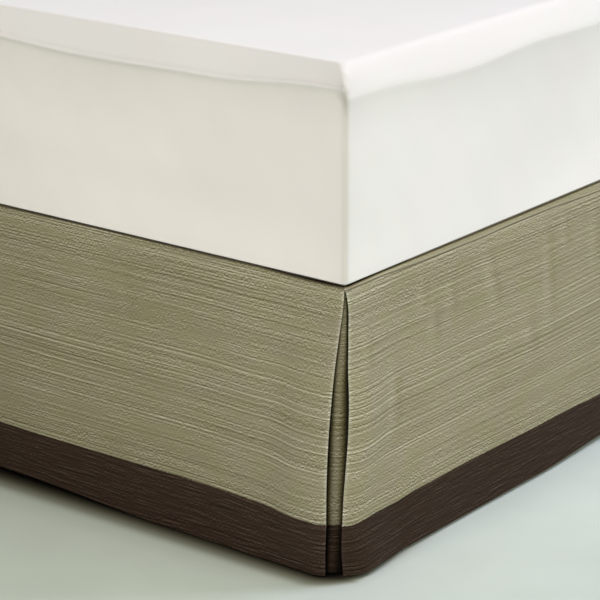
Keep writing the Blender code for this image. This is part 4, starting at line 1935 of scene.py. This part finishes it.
@dataclass
class Mattress:
    """The mattress in its white fitted sheet, drawn tight over a welt below the top edge."""

    outline: BedOutline
    corner: float = 0.0036
    welt_depth: float = 0.0385
    side_waist: float = 0.140


    def profile(self, bottom: float, top: float) -> list:
        """The rings' rows from the top's middle down.

        Args:
            bottom: the height of the mattress's underside.
            top: the height of its top.

        Returns:
            Rows of height, drawn_in_at_ends, drawn_in_at_sides and share of the way inwards.
        """
        depth, ends, sides = WELT_TOP[-1]
        rows = [(top - depth, ends, sides, inwards) for inwards in reversed(TOP_RINGS)]
        rows += [(top - depth, ends, sides, 0.0) for depth, ends, sides in reversed(WELT_TOP)]
        low, high = bottom + 0.006, top - WELT_TOP[0][0] - 0.012
        rows += [(float(z), 0.0, 0.0, 0.0) for z in np.linspace(high, low, 8)]
        rows += [(bottom + height, inset, inset, 0.0) for height, inset in reversed(WELT_SIDE)]
        return rows

    def middle_line(self, y: Array) -> Array:
        """The points of the top's middle line that a ring's points are drawn towards."""
        half, bed = self.outline.width / 2, self.outline
        return np.stack([0 * y + bed.left + half, np.clip(y, bed.foot + half, bed.head - half)], -1)

    def from_corner(self, place: Array) -> tuple:
        """How far a ring's points are from the nearest long side, and from the nearest end."""
        x, y, bed = place[:, 0], place[:, 1], self.outline
        return np.minimum(x - bed.left, bed.right - x), np.minimum(y - bed.foot, bed.head - y)

    def rise(self, place: Array, way: Array) -> Array:
        """How much higher the welt's line lies at each point of a ring.

        Args:
            place: the ring's points.
            way: the way outwards at each of them.

        Returns:
            The rise.
        """
        foot = bumps(WELT_RISE["foot"], self.outline.right - place[:, 0])
        side = bumps(WELT_RISE["side"], place[:, 1] - self.outline.foot)
        return foot * way[:, 1] ** 2 + side * way[:, 0] ** 2

    def painted_sheet_shade(self, place: Array, way: Array, depth: float) -> Array:
        """Painted shade: along the corner seams, where they pinch, below the welt and in its ditch.

        Args:
            place: a ring's points.
            way: the way outwards at each of them.
            depth: how far below the top the ring lies.

        Returns:
            The painted shade.
        """
        across, along = self.from_corner(place)
        near = np.maximum(across, 0) + np.maximum(along, 0)
        round_corner = across - along
        at_corner = near < CORNER_REACH
        strength, reach = SEAM_CORNER_SHADE
        seam = SEAM_MARK.at(round_corner) * at_corner + strength * np.exp(-near / reach)
        seam = seam if depth > WALL_FROM else SEAM_ABOVE * seam
        wide = ease((PINCH_FROM - depth) / PINCH_RISE)
        middle, width = (low + more * wide for low, more in PINCH_SHAPE)
        pinch = PINCH_MARK.at(depth) * bell(round_corner, middle, width) * at_corner
        ends = way[:, 1] ** 2
        under = 0.0
        if depth > UNDER_FROM:
            below = max(depth - self.welt_depth, 0.0)
            at_sides, at_ends = UNDER_WELT_SHADE
            fade = math.exp(-below / UNDER_REACH)
            under = (at_sides + (at_ends - at_sides) * ends) * fade
        return seam + pinch + under + ends * DITCH_MARK.at(depth)

    def tone(self, place: Array, way: Array, depth: float) -> Array:
        """Painted light and shade of the sheet: darker towards the corners, on the welt and on top.

        Args:
            place: a ring's points.
            way: the way outwards at each of them.
            depth: how far below the top the ring lies.

        Returns:
            The level, which is 1 where no painted shade or light changes it.
        """
        across, along = self.from_corner(place)
        near = np.maximum(across, 0) + np.maximum(along, 0)
        darkened = {
            part: sum(amount * np.exp(-near / reach) for amount, reach in rows)
            for part, rows in PAINTED_SHADE_BY_PART.items()
        }
        ends, sides = way[:, 1] ** 2, way[:, 0] ** 2
        wall = ends * darkened["end_wall"] + sides * darkened["side_wall"]
        band = ends * darkened["end_band"] + sides * darkened["side_band"]
        level = np.full(len(place), MOTTLE_FLATNESS * depth)
        uneven = Ripple(43, 0.9, 0.07, 9).over(place[:, 0] + place[:, 1], level)
        wall = wall - np.interp(depth, *np.array(WALL_LIGHT).T) + MOTTLE * uneven
        on_band = ease((BAND_BOTTOM - depth) / BAND_BLUR)
        on_top = ease((TOP_BOTTOM - depth) / TOP_BLUR)
        return 1.0 - (wall + (band - wall) * on_band) * (1 - on_top) - SHEET_TOP_SHADE * on_top

    def build(self, finishes: Finishes) -> None:
        """Args:
            finishes: the scene's materials.
        """
        bottom, top = (corner[2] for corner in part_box("bed_mattress"))
        ring = RoundedRing(self.outline, near_corner=NEAR_CORNER)
        tug, swell = Ripple(41, 0.9, 0.18, 7), Ripple(42, 1.1, 0.25, 7)
        rows, marks = [], {PAINTED_SHADE: [], SHEET_SHADE_AND_MOTTLE: [], SHEET_WARMTH: []}
        for height, at_ends, at_sides, inwards in self.profile(bottom, top):
            radius = self.corner + CORNER_OPENS * max(at_ends, 0.0)
            place, way = ring.points(at_sides, radius)
            place = place + way * ((at_sides - at_ends) * way[:, 1] ** 2)[:, None]
            place = place + (self.middle_line(place[:, 1]) - place) * inwards
            share, depth = (height - bottom) / (top - bottom), top - height
            # Painted shade along the seams and below the welt, painted light and shade with the
            # mottle, and the end walls' warmer tone.
            marks[PAINTED_SHADE].append(self.painted_sheet_shade(place, way, depth))
            marks[SHEET_SHADE_AND_MOTTLE].append(self.tone(place, way, depth))
            wall = 1 - ease((BAND_BOTTOM - depth) / BAND_BLUR)
            marks[SHEET_WARMTH].append(way[:, 1] ** 2 * wall)
            across, along = self.from_corner(place)
            z = np.full(len(place), height)
            side = math.sin(math.pi * min(max(share / TUG_TOP, 0.0), 1.0))
            free = ease((across + along) / TUG_FREE)
            pull = tug.over(place[:, 0] + place[:, 1], z * TUG_FLATNESS)
            push = TUG * side * free * pull
            near = np.exp(-(np.maximum(across, 0) + np.maximum(along, 0)) / FULL_REACH)
            full = FULLNESS * bump_shape((depth - FULL_DEPTH) / FULL_HALF)
            place = place + way * (full * near)[:, None] * FULL_WAY
            past = math.exp(-max(depth - self.welt_depth, 0.0) / self.side_waist * 2)
            near_welt = min(depth / self.welt_depth, 1.0) * past
            z = z + self.rise(place, way) * near_welt * (share > RISE_FROM)
            place = place + way * push[:, None]
            if inwards > 0:
                edge, middle = LOOSE_BLUR
                loose = LOOSE * ease(inwards / edge) * ease((1 - inwards) / middle)
                z = z + loose * (swell.over(place[:, 0], place[:, 1]) - LOOSE_LOWER)
            rows.append(np.column_stack([place, z]))
        points, faces = np.concatenate(rows), tube_faces(len(rows), len(rows[0]))
        marks = {key: np.concatenate(values) for key, values in marks.items()}
        name = "fitted_sheet_mattress"
        mattress = mesh_object(name, points, faces, finishes.sheet, marks=marks)
        dress(mattress, "white_bedding", "bed_mattress")


@dataclass
class Foundation:
    """The cloth-covered foundation under the deck, with its welts."""

    outline: BedOutline
    inset: float = 0.0095
    edge: float = 0.0035
    corner: float = 0.011
    welt: float = 0.0024
    welt_sides: int = 8
    edge_steps: int = 5
    wall_rows: int = 12
    wall_inset: float = 0.012
    spacing: float = 0.02
    corner_steps: int = 8
    slack: float = 0.0011
    slack_in: float = 0.8

    FLAT_RINGS = (0.36, 0.2, 0.1, 0.03)

    def rows(self, low: float, high: float) -> list:
        """The rows of the box, from the top's middle down.

        Args:
            low: the height of its underside.
            high: the height of its top.

        Returns:
            Rows of height and drawn_in.
        """
        turn = [(math.sin(a), math.cos(a)) for a in np.linspace(math.pi / 2, 0, self.edge_steps)]
        walls = np.linspace(high - self.wall_inset, low + self.wall_inset, self.wall_rows)
        rows = [(high, inset) for inset in self.FLAT_RINGS]
        rows += [(high - self.edge * (1 - s), self.edge * (1 - c)) for s, c in turn]
        rows += [(float(z), 0.0) for z in walls]
        rows += [(low + self.edge * (1 - s), self.edge * (1 - c)) for s, c in reversed(turn)]
        rows += [(low, inset) for inset in reversed(self.FLAT_RINGS)]
        return rows

    def build(self, finishes: Finishes) -> None:
        """Makes and dresses the box and the two welts round its edges.

        Args:
            finishes: the scene's materials.
        """
        low, high = (corner[2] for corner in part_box("bed_foundation"))
        ring = RoundedRing(self.outline, spacing=self.spacing, corner_steps=self.corner_steps)
        slack = Ripple(51, 0.5, 0.06, 8)
        rows = []
        for height, drawn_in in self.rows(low, high):
            place, way = ring.points(self.inset + drawn_in, self.corner + drawn_in)
            z = np.full(len(place), height)
            share = bump_shape((height - (low + high) / 2) / ((high - low) / 2))
            loose = slack.over(place[:, 0] - place[:, 1], z) - self.slack_in
            push = self.slack * share * loose
            rows.append(np.column_stack([place + way * push[:, None], z]))
        faces = tube_faces(len(rows), len(rows[0]))
        box = mesh_object("foundation_box", np.concatenate(rows), faces, finishes.cover)
        dress(box, "foundation_cover", "bed_foundation")
        for name, height in (("upper_welt", high - self.edge), ("lower_welt", low + self.edge)):
            self.cord("foundation_" + name, ring, height, finishes.welt)

    def cord(
        self, name: str, ring: RoundedRing, height: float, material: Material
    ) -> None:
        """A round covered cord along one edge of the box.

        Args:
            name: the cord's name.
            ring: the rounded rectangle.
            height: the height of the cord's middle.
            material: the cord's finish.
        """
        place, way = ring.points(self.inset, self.corner)
        sides, count = self.welt_sides, len(place)
        rings = []
        for angle in np.arange(sides) * 2 * math.pi / sides:
            rise = np.full(count, height + self.welt * math.sin(angle))
            rings.append(np.column_stack([place + way * self.welt * math.cos(angle), rise]))
        numbers = np.arange(sides * count).reshape(sides, count)
        closed = np.concatenate([numbers, numbers[:1]])
        closed = np.concatenate([closed, closed[:, :1]], axis=1)
        faces = grid_faces(closed, turned=True)
        dress(mesh_object(name, np.concatenate(rings), faces, material), "foundation_cover")


@dataclass
class Leg:
    """A turned wooden leg with a collar and a foot pad."""

    number: int
    sides: int = 40

    PROFILE = (
        # share of the height, radius
        (1.0, 0.026), (1.0, 0.029), (0.994, 0.03), (0.95, 0.03), (0.944, 0.0292),
        (0.938, 0.0272), (0.926, 0.0266), (0.914, 0.0272), (0.908, 0.0284), (0.896, 0.029),
        (0.86, 0.0288), (0.7, 0.0276), (0.5, 0.0259), (0.3, 0.0242), (0.12, 0.0227),
        (0.05, 0.0222), (0.036, 0.0217), (0.028, 0.0205), (0.024, 0.0208), (0.018, 0.0216),
        (0.006, 0.0218), (0.0, 0.0212),
    )

    def build(self, finishes: Finishes) -> None:
        """Makes and dresses the leg.

        Args:
            finishes: the scene's materials.
        """
        node = f"bed_leg_{self.number}"
        low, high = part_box(node)
        centre = ((low[0] + high[0]) / 2, (low[1] + high[1]) / 2)
        tall = high[2] - low[2]
        profile = tuple((low[2] + share * tall, radius) for share, radius in self.PROFILE)
        name = f"turned_leg_{self.number}"
        dress(lathe_object(name, centre, profile, self.sides, finishes.wood), "dark_wood", node)


@dataclass(frozen=True)
class SoftLight:
    """One soft square light that faces the bed's right foot corner.

    Its bearing is counted from +X and its rise from the floor's plane, both in degrees.
    """

    name: str
    bearing: float
    rise: float
    distance: float
    size: float
    power: float
    colour: tuple

    def build(self, aim: Array) -> None:
        """Hangs the light.

        Args:
            aim: the point that it faces.
        """
        data = bpy.data.lights.new(self.name, "AREA")
        data.shape = "SQUARE"
        data.size = self.size
        data.energy = self.power
        data.color = self.colour
        turn, rise = math.radians(self.bearing), math.radians(self.rise)
        flat = math.cos(rise)
        way = np.array([math.cos(turn) * flat, math.sin(turn) * flat, math.sin(rise)])
        lamp = bpy.data.objects.new(self.name, data)
        lamp.location = aim + self.distance * way
        lamp.rotation_euler = (math.atan2(flat, way[2]), 0, math.atan2(way[0], -way[1]))
        bpy.context.collection.objects.link(lamp)


@dataclass
class Studio:
    """The floor, the lights and the camera."""

    outline: BedOutline
    lens: float = 145.56
    sensor: float = 36.0
    pitch: float = 18.66565
    azimuth: float = 37.60723
    shift_up: float = 0.0076
    camera_from_corner: tuple = (1.60238, -2.16674, 1.26730)
    aim_height: float = 0.3
    floor_size: float = 9.0
    room_light: float = 0.2

    LIGHTS = (
        SoftLight("key_light", 55, 44, 5.0, 1.5, 121.0, (0.772, 0.758, 1.0)),
        SoftLight("front_fill", -80, 43, 3.0, 1.8, 51.7, (1.0, 0.936, 0.847)),
        SoftLight("corner_fill", -50, 30, 3.0, 1.7, 17.2, (0.920, 0.850, 1.0)),
        SoftLight("side_fill", 15, 25, 4.0, 2.0, 49.0, (1.0, 0.953, 0.741)),
        SoftLight("back_light", 135, 35, 5.0, 2.5, 46.0, (0.87, 1.0, 0.92)),
    )

    def floor(self, material: Material) -> None:
        """The plain pale floor."""
        corners = self.floor_size * np.array([(-1, -1, 0), (1, -1, 0), (1, 1, 0), (-1, 1, 0)])
        mesh_object("studio_floor", corners, [[0, 1, 2, 3]], material)

    def lights(self) -> None:
        """The soft lights and the pale room round them."""
        aim = np.array([self.outline.right, self.outline.foot, self.aim_height])
        for light in self.LIGHTS:
            light.build(aim)
        world = bpy.data.worlds.new("studio_world")
        world.use_nodes = True
        back = world.node_tree.nodes["Background"]
        back.inputs["Color"].default_value = (1.0, 1.0, 1.0, 1.0)
        back.inputs["Strength"].default_value = self.room_light
        bpy.context.scene.world = world

    def camera(self) -> None:
        """The camera, at its place from the bed's right foot corner."""
        data = bpy.data.cameras.new("camera")
        data.lens = self.lens
        data.sensor_width = self.sensor
        data.shift_y = self.shift_up
        camera = bpy.data.objects.new("camera", data)
        dx, dy, dz = self.camera_from_corner
        camera.location = (self.outline.right + dx, self.outline.foot + dy, dz)
        camera.rotation_euler = (math.radians(90 - self.pitch), 0, math.radians(self.azimuth))
        bpy.context.collection.objects.link(camera)
        bpy.context.scene.camera = camera

    def build(self, finishes: Finishes) -> None:
        """Sets the whole studio.

        Args:
            finishes: the scene's materials.
        """
        self.floor(finishes.floor)
        self.lights()
        self.camera()
        bpy.context.scene.view_settings.view_transform = "Standard"


def build_skirt(bed: BedOutline, finishes: Finishes) -> None:
    """Builds the deck, the three drops and the two inserts.

    Args:
        bed: the mattress's outline.
        finishes: the scene's materials.
    """
    Deck(bed).build(finishes)
    sewing = StitchRow(stitch_tree(), finishes.thread)
    left, right, along = (bed.left, bed.foot), (bed.right, bed.foot), (0, 1)
    foot_left, foot_right = DropEnd(FOOT_END, share=0.85), DropEnd(FOOT_END, share=1.0)
    side_left, side_right = DropEnd(SIDE_END, share=0.9), DropEnd(SIDE_END, share=1.0)
    head = DropEnd()
    drops = (
        Drop("foot", left, (1, 0), (0, -1), bed.width, foot_left, foot_right, 1),
        Drop("right_side", right, along, (1, 0), bed.length, side_right, head, 2),
        Drop("left_side", left, along, (-1, 0), bed.length, side_left, head, 3, turned=True),
    )
    for drop in drops:
        drop.build(finishes, sewing)
    CornerInsert("right_corner_insert", bed, side=1, seed=4).build(finishes)
    CornerInsert("left_corner_insert", bed, side=-1, seed=5).build(finishes)


def main() -> None:
    """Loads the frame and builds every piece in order."""
    logging.basicConfig(level=logging.INFO, format="%(name)s: %(message)s")
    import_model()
    outline = BedOutline.from_frame()
    finishes = Finishes.build(outline)
    Foundation(outline).build(finishes)
    for number in range(1, 7):
        Leg(number).build(finishes)
    build_skirt(outline, finishes)
    Mattress(outline).build(finishes)
    Studio(outline).build(finishes)


if __name__ == "__main__":
    main()
